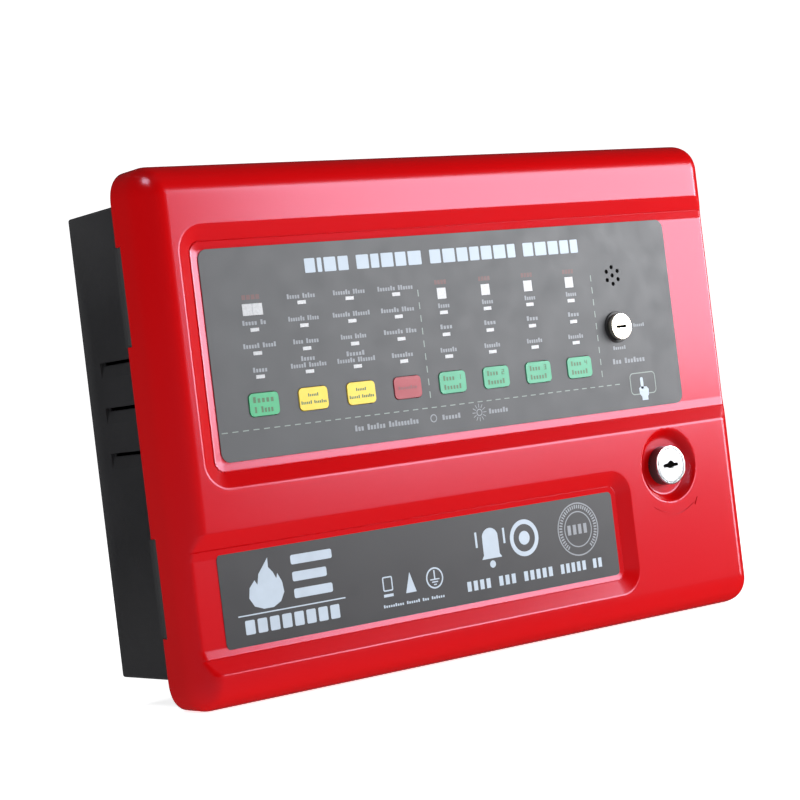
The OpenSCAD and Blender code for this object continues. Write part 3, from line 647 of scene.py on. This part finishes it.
def lamp_places():
    """Centres of the small lamps, and x with half width of the square ones, the first of which is a pair."""
    small = [(x, z) for i, x in enumerate(COLUMNS) for j, z in enumerate(ROWS)
             if j or 0 < i < FIRST_ZONE]
    square = [(COLUMNS[0], ALARM_LAMP + 0.05)] + [(x, ALARM_LAMP / 2) for x in COLUMNS[FIRST_ZONE:]]
    return small, square


def sound_places():
    """Centres of the sound holes: one in the middle and six round it."""
    return [BUZZER] + arc(BUZZER[0], BUZZER[1], SOUND_RING_R, 30, 330, 5)


def front_openings(grow, low, high):
    """The openings for buttons, lamps, sound and the key switch, as cutters."""
    shapes = Shapes()
    small, square = lamp_places()
    for x in COLUMNS:
        shapes.bar(x, BUTTON_Z, BUTTON_W / 2 + BUTTON_GAP, BUTTON_H / 2 + BUTTON_GAP, low, high,
                   BUTTON_R + BUTTON_GAP, 6)
    for x, z, w, h in ([(x, z, LAMP_W / 2, LAMP_H / 2) for x, z in small]
                       + [(x, ALARM_Z, half, ALARM_LAMP / 2) for x, half in square]):
        shapes.bar(x, z, w + grow, h + grow, low, high, 0.1, 1)
    for x, z in sound_places():
        shapes.disc(x, z, SOUND_HOLE_R, low, high, 24)
    shapes.disc(KEY[0], KEY[1], KEY_HOLE_R, low, high)
    return shapes


def arrow_groove(shapes):
    """The turning arrow pressed into the door below the lock."""
    r, half, depth, start, end = 26.5, 0.75, 0.4, 236, 304
    head_half, head_long = 2.4, 4.6
    out, along = Vector(polar(0, 0, 1, end)), Vector(polar(0, 0, 1, end + 90))
    root = Vector(LOCK) + out * r
    head = [root + out * head_half, root + along * head_long, root - out * head_half]
    path = (arc(LOCK[0], LOCK[1], r - half, end, start, 24) + arc(LOCK[0], LOCK[1], r + half, start, end, 24)
            + [tuple(p) for p in head])
    shapes.slab(path, FRONT - depth, FRONT + 1)


def pin_channels():
    """The channels in the hinge edge through which the pins are slid in."""
    shapes = Shapes()
    for s in (-1, 1):
        shapes.rod_up(HINGE_X, HINGE_H, PIN_HOLE_R, s * 25, s * 115)
    return shapes


def make_door():
    verts, faces = door_skin()
    door = solid("door", verts, faces, DOOR_RED)
    shapes = front_openings(0.3, FLOOR - 10, FRONT + 5)
    shapes.disc(LOCK[0], LOCK[1], SHANK_HOLE_R, FLOOR - 10, FRONT + 5)
    cut(door, shapes)
    shapes = Shapes()
    arrow_groove(shapes)
    for z0, z1 in ((-94, -46), (46, 94)):
        shapes.slab(round_rect(-HALF_W - 1, LUG_X, z0, z1, 0.1, 1), RIM - 1, RIM + 4.5)
    cut(door, shapes)
    cut(door, pin_channels())
    shade(door)
    finish_piece(door, "door", ["door_cover"])


def make_lugs():
    """Lugs that hold the hinge pins, beside each notch of the hinge edge."""
    shapes = Shapes()
    left = -HALF_W + 1.5
    for z in (-97.5, -42.5, 42.5, 97.5):
        shapes.bar((left + LUG_X) / 2, z, (LUG_X - left) / 2, 3.5, RIM, RIM + 5.2, 0.4)
    cut(shapes.make("hinge_lugs", DOOR_RED, "door", "door_plastic"), pin_channels())


def make_posts():
    """Posts behind the front that carry the display board, each with four ribs."""
    shapes = Shapes()
    high = FLOOR - DOOR_WALL + 0.3
    for x in (-150, -12, 120):
        for z in (-12, 86):
            shapes.hoop(x, z, 3.5, 2.2, BOARD_TOP, high, 32)
            for cx, cz in arc(x, z, 4.2, 45, 315, 3):
                shapes.box(cx - 0.5, cx + 0.5, cz - 0.5, cz + 0.5, BOARD_TOP + 4, high)
    shapes.make("board_posts", DOOR_RED, "door", "door_plastic")


make_lugs()
make_posts()
make_door()

# ---- overlay, label and what is printed on them

INK = 0.03  # the print's thickness
FILM_R = 5  # corners of the overlay and the label


def make_film(name, node, surface, slot):
    """The overlay or the label: a thin sheet on the floor of a recess."""
    low, high = limits(node)
    shapes = Shapes()
    shapes.slab(round_rect(low.x, high.x, low.z, high.z, FILM_R, 12), FLOOR + CLEAR, -low.y)
    return shapes.make(name, surface, "door", slot, [node])


def make_overlay():
    overlay = make_film("overlay", "upper_overlay", OVERLAY_GREY, "overlay_film")
    cut(overlay, front_openings(0.1, FLOOR - 3, OVERLAY_TOP + 3))
    overlay.data.shade_flat()


class Print(Shapes):
    """Ink on a flat surface: shapes that stand a hair above it."""

    def __init__(self, ground):
        super().__init__()
        self.low, self.high = ground - CLEAR, ground + INK

    def block(self, x0, x1, z0, z1):
        self.box(x0, x1, z0, z1, self.low, self.high)

    def rounded(self, x0, x1, z0, z1, r):
        self.slab(round_rect(x0, x1, z0, z1, r, 6), self.low, self.high)

    def outline(self, points):
        self.slab(points, self.low, self.high)

    def ringed(self, x, z, r, width, steps=48):
        self.hoop(x, z, r, width, self.low, self.high, steps)

    def dot(self, x, z, r):
        self.disc(x, z, r, self.low, self.high, 32)

    def frame(self, x0, x1, z0, z1, r, width):
        inner = round_rect(x0 + width, x1 - width, z0 + width, z1 - width, r - width, 6)
        self.ring(round_rect(x0, x1, z0, z1, r, 6), inner, self.low, self.high)

    def stroke(self, ax, az, bx, bz, width):
        along = Vector((bx - ax, bz - az)).normalized() * width / 2
        side = Vector((-along.y, along.x))
        self.outline([(ax - side.x, az - side.y), (bx - side.x, bz - side.y),
                      (bx + side.x, bz + side.y), (ax + side.x, az + side.y)])

    def rays(self, cx, cz, near, far, width, angles):
        for a in angles:
            self.stroke(*polar(cx, cz, near, a), *polar(cx, cz, far, a), width)

    def words(self, x0, x1, z, tall, letters, fill=0.7, small=0.72):
        """Letter-sized blocks that stand for a line of wording. letters counts each word's blocks, fill is a
        block's share of its pitch, and small is the height of the lower blocks against the taller ones."""
        slots = sum(letters) + len(letters) - 1
        pitch = (x1 - x0) / slots
        at = 0
        for word in letters:
            for k in range(word):
                left = x0 + pitch * (at + k)
                capital = k == 0 or (at + 2 * k) % 5 == 0
                top = tall if capital else tall * small
                self.block(left, left + pitch * fill, z - tall / 2, z - tall / 2 + top)
            at += word + 1


def print_heading():
    """The panel's heading: word-sized runs of bold blocks."""
    ink = Print(OVERLAY_TOP)
    gap = 1.4
    for x0, x1, widths in ((-94.4, -68.2, (7, 3, 8, 7)), (-63.2, -22.6, (9, 6, 9, 8, 10)),
                           (-17.1, 39.5, (8, 9, 8, 7, 8, 9, 6)), (45, 83.1, (8, 9, 8, 7, 6))):
        scale = (x1 - x0 - gap * (len(widths) - 1)) / sum(widths)
        at = x0
        for wide in widths:
            ink.rounded(at, at + wide * scale, 73.2, 80.3, 0.5)
            at += wide * scale + gap
    ink.make("heading", PRINT_WHITE, "door", "overlay_film")


def print_captions():
    """A caption over every lamp, row by row, each with its middle, its width and the blocks of its words."""
    ink = Print(OVERLAY_TOP)
    zones = COLUMNS[FIRST_ZONE:]
    rows = [
        (62.3, [(-98.5, 16.8, (5, 5)), (-69.7, 19.6, (7, 5)), (-41.1, 22.4, (7, 6))]),
        (51.3, [(-127.2, 13.8, (5, 2)), (-98.5, 18.3, (7, 5)), (-69.8, 22.9, (7, 7)), (-41.1, 21.1, (7, 5))]),
        (40.1, [(-125.6, 19.1, (6, 5)), (-98.7, 15.3, (4, 5)), (-70.1, 15.8, (5, 5))]),
        (40.3, [(-41.1, 20.8, (7, 4))]),
        (31.6, [(-98.7, 8.5, (5,)), (-70.1, 11.4, (6,))]),
        (28.4, [(-127, 8.5, (5,)), (-98.7, 21.3, (6, 7)), (-70.1, 23.3, (7, 7)), (-41.5, 13.6, (8,))]),
        (51.3, [(x + 0.6, 7.6, (5,)) for x in zones]),
        (40.4, [(x + 0.6, 8, (4,)) for x in zones]),
        (28.5, [(x + 0.3, 10.8, (7,)) for x in zones])]
    for z, row in rows:
        for x, wide, letters in row:
            ink.words(x - wide / 2, x + wide / 2, z, 2.4, letters)
    ink.words(-76, -36.2, -5.6, 2.9, (3, 6, 10))
    ink.words(-21.3, -9.1, -5.6, 2.6, (6,))
    ink.words(9.3, 22.3, -5.5, 2.6, (7,))
    ink.words(116.6, 124.8, 31.2, 1.9, (6,))
    ink.words(100.1, 109.4, 19.8, 2, (6,))
    ink.words(98.7, 122.4, 12.5, 2.9, (3, 7))
    ink.ringed(-26.9, -5.5, 2.1, 0.55)
    ink.ringed(2.9, -5.5, 1.9, 0.5)
    ink.rays(2.9, -5.5, 2.5, 4.6, 0.42, range(0, 360, 30))
    ink.make("captions", PRINT_SOFT, "door", "overlay_film")
    red = Print(OVERLAY_TOP)
    red.words(-132.9, -122.3, 63.6, 2.3, (4,), 0.8, 1)
    for x in zones:
        red.words(x - 4, x + 4, 63.4, 2.3, (4,), 0.8, 1)
    red.make("fire_captions", PRINT_RED, "door", "overlay_film")


def print_lines():
    """The dashed lines between the groups, and the touch sign by the key switch."""
    ink = Print(OVERLAY_TOP)
    for x in (-27.3, 89.8):
        for k in range(9):
            ink.block(x - 0.3, x + 0.3, 57 - 6.5 * k, 60.4 - 6.5 * k)
    for k in range(43):
        x = -153 + 5.98 * k
        ink.block(x, x + 3.4, -0.25, 0.25)
    ink.frame(109.2, 128, -7, 5.1, 2.6, 0.55)
    ink.make("dashed_lines", PRINT_LINE, "door", "overlay_film")
    hand = Print(OVERLAY_TOP + INK)
    hand.rounded(116.7, 118.8, -4, 2.4, 1)
    hand.outline([(115.3, -3.6), (116.4, -2.7), (120.9, -3), (122.2, -4.4), (121.9, -7.6), (121.2, -8.3),
                  (121.2, -10.3), (116.9, -10.3), (116.9, -8.4), (115.5, -6.6)])
    hand.make("touch_sign", PRINT_WHITE, "door", "overlay_film")


def print_label():
    """Generic signs in the places of the label's marks, such as a flame, a bell and a dial."""
    ink = Print(LABEL_TOP)
    flame = [(-141, -85.4), (-146, -83.6), (-148.6, -79.4), (-147.8, -74.6), (-144.6, -71.2), (-143.2, -73.6),
             (-142, -68.6), (-138.6, -64.6), (-136, -61.4), (-136.2, -66), (-133.8, -68.8), (-132.2, -72),
             (-131.4, -69.6), (-129.2, -74), (-128.6, -79), (-131, -83.2), (-135.4, -85.4)]
    ink.outline(flame)
    for k, right in enumerate((-98.9, -103, -100.5)):
        ink.rounded(-123, right, -66.8 - 8.2 * k, -62.2 - 8.2 * k, 1)
    ink.block(-155.9, -93.8, -87.5, -86.9)
    pitch = 56.2 / 8
    for k in range(8):
        ink.rounded(-152.6 + pitch * k, -152.6 + pitch * (k + 1) - 1.6, -96.4, -89.6, 0.7)
    ink.frame(-70.7, -64.6, -88, -80.6, 1, 0.7)
    ink.block(-70.7, -64.8, -90.8, -89.4)
    ink.outline([(-53.7, -80.4), (-50.4, -90.6), (-57, -90.6)])
    ink.ringed(-38.3, -85.6, 5.4, 0.8)
    ink.block(-38.7, -37.9, -86, -81.6)
    for k, half in enumerate((2.9, 1.9, 0.9)):
        ink.block(-38.3 - half, -38.3 + half, -86.6 - 1.3 * k, -86 - 1.3 * k)
    ink.words(-71.5, -33, -95.3, 1.5, (9, 6, 3, 6), 0.66)
    dome = [(-6.6, -81), (-5.2, -79), (-5.2, -72.6)] + arc(0, -70.6, 5.4, 160, 20, 10) + [
        (5.2, -72.6), (5.2, -79), (6.6, -81)]
    ink.outline(dome)
    ink.dot(0, -84, 1.9)
    ink.stroke(-9.2, -74.4, -9.2, -66.4, 1.3)
    ink.stroke(9.2, -74.4, 9.2, -66.4, 1.3)
    ink.ringed(22.6, -73.4, 9.6, 2.4, 64)
    ink.dot(22.6, -73.4, 3.6)
    ink.words(-18.2, 40.6, -93.3, 5, (4, 3, 5), 0.62, 1)
    ink.words(44.8, 75, -93.3, 5, (5, 2), 0.62, 1)
    ink.make("label_signs", PRINT_LABEL, "door", "label_film")
    soft = Print(LABEL_TOP)
    soft.ringed(59.9, -73.8, 14.2, 0.7, 64)
    soft.rays(59.9, -73.8, 11, 13, 0.8, [-50 + 280 / 39 * k for k in range(40)])
    soft.ringed(59.9, -73.8, 9.6, 0.6, 64)
    soft.words(52.6, 67.4, -73.8, 5.2, (4,), 0.6, 1)
    soft.make("label_dial", PRINT_SOFT, "door", "label_film")


DIGITS = {1: "bc", 2: "abged", 3: "abgcd", 4: "fgbc"}


def digit(ink, number, x, z, wide, tall, thick):
    """A seven-stroke digit with its lower left corner at (x, z)."""
    mid, top, right = z + tall / 2, z + tall, x + wide
    strokes = {"a": (x, right, top - thick, top), "d": (x, right, z, z + thick),
               "g": (x, right, mid - thick / 2, mid + thick / 2),
               "b": (right - thick, right, mid, top), "c": (right - thick, right, z, mid),
               "f": (x, x + thick, mid, top), "e": (x, x + thick, z, mid)}
    for name in DIGITS[number]:
        ink.block(*strokes[name])


def print_buttons():
    """Blocks on every button, in two rows on all but the fourth, and the zone's number on the zone buttons.
    """
    for i, x in enumerate(COLUMNS):
        ink = Print(BUTTON_TOP)
        if i == 0:
            ink.words(x - 6.2, x + 6.4, BUTTON_Z + 2.4, 3, (5,), 0.62)
            ink.words(x - 5.8, x + 5.4, BUTTON_Z - 2.4, 3, (1, 4), 0.62)
        elif i < 3:
            ink.words(x - 3.2, x + 3.2, BUTTON_Z + 1.9, 1.6, (6,), 0.66)
            ink.words(x - 7.6, x + 7.6, BUTTON_Z - 1.7, 1.7, (6, 7), 0.66)
        elif i == 3:
            ink.words(x - 6, x + 6, BUTTON_Z, 1.8, (8,), 0.7)
        else:
            ink.words(x - 5.9, x + 1.8, BUTTON_Z + 2.3, 2.6, (4,), 0.6)
            digit(ink, i - FIRST_ZONE + 1, x + 3.7, BUTTON_Z + 1, 1.7, 2.6, 0.42)
            ink.words(x - 5.9, x + 5.8, BUTTON_Z - 2.3, 2.6, (6,), 0.6)
        ink.make(f"button_{i + 1}_print", PRINT_BUTTON_RED if i == 3 else PRINT_DARK, f"push_{i + 1}",
                 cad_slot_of(f"button_{i + 1}"))


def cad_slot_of(node):
    return next(p["material_slot"] for p in frame["record"]["subparts"] if p["node"] == node)


def make_sound_hole_shade():
    """Black discs in the sound holes, where the door meets the overlay: painted shade for the holes' depth.
    """
    shapes = Shapes()
    for x, z in sound_places():
        shapes.disc(x, z, SOUND_HOLE_R - CLEAR, FLOOR - 0.3, FLOOR + 0.2, 24)
    shapes.make("sound_hole_shade", HOLE_SHADE_AND_INK, "door", "black_mould")


def rounded_edge(r, height, soft):
    """Profile points of a rounded outer edge at the top of a turned part."""
    return [(r - soft * (1 - cos(a)), height - soft * (1 - sin(a)))
            for a in (pi / 10 * k for k in range(6))]


def make_lock():
    """The lock's head in the dish on its threaded shank, with a chromed rim, a side darkened as painted
    shade, and a black block as painted shade in the plug's keyway.
    """
    x, z = LOCK
    rear, base, shoulder, well = rear_of("lock_body"), FRONT - DISH_DEPTH, LOCK_FACE - 0.5, LOCK_FACE - 1.6
    thread = [(SHANK_R - deep, rear + 1 + k + rise) for k in range(12)
              for deep, rise in ((0.25, 0), (0, 0.3), (0, 0.6), (0.25, 0.9))]
    shapes = Shapes()
    shapes.lathe(x, z, [(LOCK_BORE_R, rear), (SHANK_R - 0.5, rear)] + thread
                 + [(SHANK_R, base - 1.5), (SHANK_R, base), (LOCK_R, base), (LOCK_R, shoulder),
                    (LOCK_WELL_R, shoulder), (LOCK_WELL_R, well), (LOCK_BORE_R, well)])
    # The head's side and shank are painted shade: dark grey metal where the chrome shows dark reflections
    shapes.make("lock_head", LOCK_SIDE_PAINTED_SHADE, "door", "chrome_lock", ["lock_body"])
    foot = shoulder + CLEAR
    shapes = Shapes()
    shapes.lathe(x, z, [(LOCK_RIM_R, foot), (LOCK_R, foot)] + rounded_edge(LOCK_R, LOCK_FACE, 0.3)
                 + [(LOCK_RIM_R, LOCK_FACE)])
    shapes.make("lock_rim", CHROME, "door", "chrome_lock")
    seam = LOCK_FACE - 0.08
    shapes = Shapes()
    shapes.lathe(x, z, [(LOCK_WELL_R, foot), (LOCK_RIM_R, foot), (LOCK_RIM_R, seam), (LOCK_WELL_R, seam)])
    shapes.make("lock_seam", SEAM_GREY, "door", "chrome_lock")
    # Painted shade: a black block that fills the plug's keyway below its face
    shapes = Shapes()
    shapes.bar(x, z, 5.25, 0.9, LOCK_FACE - 8.5, LOCK_FACE - 0.25, 0.3)
    shapes.disc(x, z + 0.3, 2.0, LOCK_FACE - 0.8, LOCK_FACE - 0.3)
    shapes.make("lock_keyway_shade", HOLE_SHADE_AND_INK, "lock_barrel", "black_mould")


def make_key_switch():
    """The key switch's collar and head, a black block and patch as painted shade in the plug's keyway, and
    the marks round it.
    """
    x, z = KEY
    foot, collar_top, bore = OVERLAY_TOP + CLEAR, OVERLAY_TOP + 1, KEY_R + 0.06
    shapes = Shapes()
    shapes.lathe(x, z, [(bore, foot), (KEY_COLLAR_R, foot)] + rounded_edge(KEY_COLLAR_R, collar_top, 0.35)
                 + [(bore, collar_top)])
    shapes.make("key_collar", BLACK_MOULD, "door", "black_mould", ["key_switch_bezel"])
    rear = rear_of("key_switch_body") + 4
    shapes = Shapes()
    shapes.lathe(x, z, [(KEY_BORE_R, rear + 1.5), (KEY_BORE_R, rear), (KEY_STEM_R, rear),
                        (KEY_STEM_R, OVERLAY_TOP), (KEY_R, OVERLAY_TOP)] + rounded_edge(KEY_R, KEY_FACE, 0.25)
                 + [(KEY_BORE_R + 0.1, KEY_FACE), (KEY_BORE_R, KEY_FACE - 0.1)])
    for s in (-1, 1):
        shapes.bar(x + 3 * s, z, 0.4, 1.5, rear - 4, rear + 1.4, 0.1)
    shapes.make("key_head", NICKEL, "door", "nickel_switch", ["key_switch_body"])
    marks = Print(KEY_FACE)
    marks.block(x + 5.0, x + 6.7, z + 0.35, z + 0.75)
    marks.dot(x - 0.2, z - 5.9, 0.45)
    marks.make("key_marks", HOLE_SHADE_AND_INK, "door", "black_mould")
    # Painted shade: a black block in the plug's keyway and a black patch over it on the face
    shapes = Shapes()
    shapes.bar(x, z, 3.5, 0.5, KEY_FACE - 8.5, KEY_FACE - 0.2, 0.2)
    shapes.bar(x, z, 3.3, 0.75, KEY_FACE - 0.15, KEY_FACE + 0.04, 0.3)
    shapes.make("key_keyway_shade", HOLE_SHADE_AND_INK, "key_barrel", "black_mould")


def make_wires():
    """The leads inside the box, on the box's side of the hinge, through (x, height, z) points.
    The battery leads climb at x = rise and turn over at z = shelf, into the terminals at z = entry."""
    rise, shelf, entry, pitch = 100, 98, 89.3, 2.54
    routes = {
        "battery_lead_red": (WIRE_RED, 1.1, [
            [(43, 12.2, -47), (43, 12.6, -38), (62, 10, -30), (94, 7, -24), (rise, 7, -4), (rise, 7, 40),
            (rise, 7, 80), (96, 9, shelf - 2), (80, 15, shelf + 1), (66, 19, shelf), (62.3, 19, 94),
            (62.3, 19, entry)],
            [(-58, 12.2, -47), (-58, 12.8, -41), (-51, 13.4, -36), (-44, 13.6, -35), (-37, 13.4, -36),
            (-30, 12.8, -41), (-30, 12.2, -47)]]),
        "battery_lead_black": (RUBBER, 1.1, [
            [(-131, 12.2, -47), (-131, 12.6, -39), (-118, 9, -33), (-80, 5, -30), (0, 5, -30), (70, 5, -27),
            (95, 6, -20), (rise - 2.4, 7, -2), (rise - 2.4, 7, 40), (rise - 2.4, 7, 78), (93, 9, shelf - 4),
            (76, 15, shelf - 1), (61, 19, shelf - 2), (57.2, 19, 94), (57.2, 19, entry)]]),
        "secondary_leads": (WIRE_YELLOW, 0.9, [
            [(126.5, 14 + k, 35), (125, 13 + k, 29), (114 - k, 10, 25), (103.4 + k, 7, 34),
            (102.6 + k, 7, 60), (102.6 + k, 7, 84), (97 + k, 10, shelf + 2 + k), (70, 17, shelf + 5 + k),
            (56 - 2.5 * k, 20, shelf + 3), (52.1 - pitch * k, 19, 94), (52.1 - pitch * k, 19, entry)]
            for k in (0, 2)]),
        "mains_lead_brown": (WIRE_BROWN, 1.1, [
            [(109, 8, -92), (109, 9, -86), (113, 9, -81), (118.5, 8.5, -82), (121.5, 7, -86), (122, 7, -91)],
            [(146, 7, -91), (146.5, 8, -84), (150, 8, -74), (151, 8, -30), (150, 9, 10), (147, 13, 26),
            (146, 15, 35)]]),
        "mains_lead_blue": (WIRE_BLUE, 1.1, [
            [(99, 8, -92), (99, 9, -84), (104, 8, -72), (120, 6, -56), (136, 6, -36), (140, 6, 0),
            (137, 12, 24), (136, 15, 35)]]),
        "earth_lead": (WIRE_GREEN, 1.1, [
            [(89, 8, -92), (89, 9, -84), (87, 9, -78), (82.5, 8, -73), (79.3, 7.4, -71)]]),
    }
    for name, (surface, r, runs) in routes.items():
        shapes = Shapes()
        for run in runs:
            shapes.tube(run, r)
        shapes.make(name, surface, "case", "plug_rubber")
    boots = Shapes()
    for x in (-131, -58, -30, 43):
        boots.bar(x, -47.5, 3.4, 3.5, 10.6, 13.8, 1.0)
    boots.make("tab_boots", RUBBER, "case", "plug_rubber")


def make_lamp_seam():
    """The seam between the first pair of fire lamps."""
    seam = Print(front_of("alarm_lamps"))
    seam.block(COLUMNS[0] - 0.15, COLUMNS[0] + 0.15, ALARM_Z - 2.8, ALARM_Z + 2.8)
    seam.make("lamp_seam", PRINT_SOFT, "door", "lamp_lens")


make_overlay()
make_film("label", "lower_label", LABEL_GREY, "label_film")
make_sound_hole_shade()
make_lock()
make_key_switch()
make_lamp_seam()
make_wires()
print_heading()
print_captions()
print_lines()
print_label()
print_buttons()

# ---- CAD nodes that stay, with their surfaces

SURFACES = {
    CASE_BLACK: "back_box",
    ZINC: (
        "hinge_pins lock_strike strike_screws board_screws terminal_screws transformer_frame "
        "transformer_screws battery_clamp clamp_screws display_screws key_switch_nut lock_nut "
        "lock_cam cam_screw"),
    BRASS: "earth_stud battery_tabs",
    BOARD: "main_board display_board",
    BLACK_MOULD: "control_chips display_chips tact_switches buzzer board_header display_header fuse_holder",
    TERMINAL_GREEN: "zone_terminals",
    TERMINAL_WHITE: "mains_terminal",
    RELAY_BLUE: "relays",
    SLEEVE: "capacitors",
    ALUMINIUM: "heat_sink",
    LAMINATION: "transformer_core",
    COIL_TAPE: "transformer_coil",
    BATTERY: "battery_left battery_right",
    RUBBER: "blanking_plugs",
    GLASS: "mains_fuse",
    LAMP: "indicator_lamps alarm_lamps",
    KEY_GREEN: "button_1",
    KEY_YELLOW: "button_2 button_3",
    KEY_RED: "button_4",
    KEY_MINT: "button_5 button_6 button_7 button_8",
    CHROME: "lock_plug",
    NICKEL: "key_switch_plug",
}
for surface, names in SURFACES.items():
    for node_name in names.split():
        mesh = frame["nodes"][node_name].data
        mesh.materials.clear()
        mesh.materials.append(surface)

# Nodes whose edges are rounded, by the width in millimetres
ROUNDED = {
    0.4: BUTTONS,
    0.15: ["lock_plug", "key_switch_plug", "lock_cam", "indicator_lamps", "alarm_lamps"],
    0.3: ["lock_strike", "battery_clamp", "transformer_frame", "buzzer", "mains_terminal"],
    0.8: ["battery_left", "battery_right", "relays", "transformer_coil"],
}
for width, names in ROUNDED.items():
    for node_name in names:
        bevel = frame["nodes"][node_name].modifiers.new("soft_edges", "BEVEL")
        bevel.width = width * MM
        bevel.segments = 3
        bevel.limit_method = "ANGLE"
        bevel.angle_limit = radians(40)
        bevel.harden_normals = False

# ---- floor, light and camera


def studio_white():
    """White that glows most away from the panel, and less near it, so that shadows show."""
    m = material("studio_white", (0.85, 0.85, 0.86), 0.8, tint=0.0, specular=0.0)
    nodes, links = m.node_tree.nodes, m.node_tree.links
    shader = nodes["Principled BSDF"]
    place = nodes.new("ShaderNodeTexCoord")
    far = nodes.new("ShaderNodeVectorMath")
    far.operation = "LENGTH"
    links.new(place.outputs["Object"], far.inputs[0])
    near, away, least, most = 0.15, 0.6, 0.8, 1.1
    glow = ranged(m.node_tree, far.outputs["Value"], near, away, least, most)
    links.new(glow.outputs["Result"], shader.inputs["Emission Strength"])
    socket(shader, "Emission Color", (1, 1, 1, 1))
    return m


def make_studio():
    """A round floor that reflections don't show, and a dome that only the camera sees, so that the dome
    lights nothing.
    """
    white = studio_white()
    floor_z, floor_r, dome_r, steps, rows = cad_bounds[0][2], 3.0, 8.0, 96, 24
    ring = [(cos(2 * pi * i / steps), sin(2 * pi * i / steps)) for i in range(steps)]
    verts = [(floor_r * x, floor_r * y, floor_z) for x, y in ring]
    ground = mesh_object("floor", verts, [range(steps)], white)
    ground.visible_glossy = False
    verts = []
    for k in range(rows + 1):
        a = pi * (k / rows - 0.5) * 0.999  # stops short of the poles, where a ring would be a point
        verts += [(dome_r * cos(a) * x, dome_r * cos(a) * y, dome_r * sin(a)) for x, y in ring]
    faces = [(a + i, a + (i + 1) % steps, a + steps + (i + 1) % steps, a + steps + i)
             for a in range(0, rows * steps, steps) for i in range(steps)]
    dome = mesh_object("dome", verts, faces, white)
    for flag in ("visible_diffuse", "visible_glossy", "visible_transmission", "visible_volume_scatter",
                 "visible_shadow"):
        setattr(dome, flag, False)


make_studio()

world = bpy.data.worlds.new("studio")
studio.world = world
world.use_nodes = True
background = world.node_tree.nodes["Background"]
socket(background, "Color", (0.9, 0.95, 1.0, 1))
socket(background, "Strength", 0.04)


def soft_light(name, azimuth, elevation, distance, size, radiance, tint=(1, 1, 1)):
    """A softbox aimed at the panel, in metres. Azimuth runs from straight in front towards +X."""
    a, e = radians(azimuth), radians(elevation)
    place = Vector((sin(a) * cos(e), -cos(a) * cos(e), sin(e))) * distance
    data = bpy.data.lights.new(name, "AREA")
    data.shape = "RECTANGLE"
    data.size, data.size_y = size
    data.energy = radiance * pi * size[0] * size[1]
    data.color = tint
    obj = bpy.data.objects.new(name, data)
    studio.collection.objects.link(obj)
    obj.location = place
    obj.rotation_euler = (-place).to_track_quat("-Z", "Y").to_euler()
    return obj


soft_light("main", 44.5, 13.2, 1.42, (0.91, 0.72), 9.0, (0.97, 0.97, 1.0))
soft_light("high_left", -78, 50, 2.2, (0.8, 0.8), 8.0)
soft_light("right_strip", 61, 3, 1.5, (0.22, 0.7), 14.0)
soft_light("top", 0, 72, 1.9, (1.6, 0.7), 1.0).visible_glossy = False

# The camera stands level at the panel's left front, a little over a metre from AIM, tipped about its own axis
AZIMUTH = radians(36.15)
ROLL = radians(6.89)
DISTANCE = 1.0912
FOCAL_LENGTH = 97.4
AIM = Vector((-0.0456, -0.0765, 0.0058))
look = Vector((sin(AZIMUTH), cos(AZIMUTH), 0))
side = Vector((cos(AZIMUTH), -sin(AZIMUTH), 0))
up = Vector((0, 0, 1))
right = side * cos(ROLL) - up * sin(ROLL)
above = up * cos(ROLL) + side * sin(ROLL)
eye = AIM - look * DISTANCE
camera_data = bpy.data.cameras.new("camera")
camera_data.sensor_width = 36
camera_data.lens = FOCAL_LENGTH
camera_data.clip_start = 0.05
camera = bpy.data.objects.new("camera", camera_data)
studio.collection.objects.link(camera)
camera.matrix_world = Matrix.Translation(eye) @ Matrix((right, above, -look)).transposed().to_4x4()
studio.camera = camera
studio.view_settings.view_transform = "Standard"
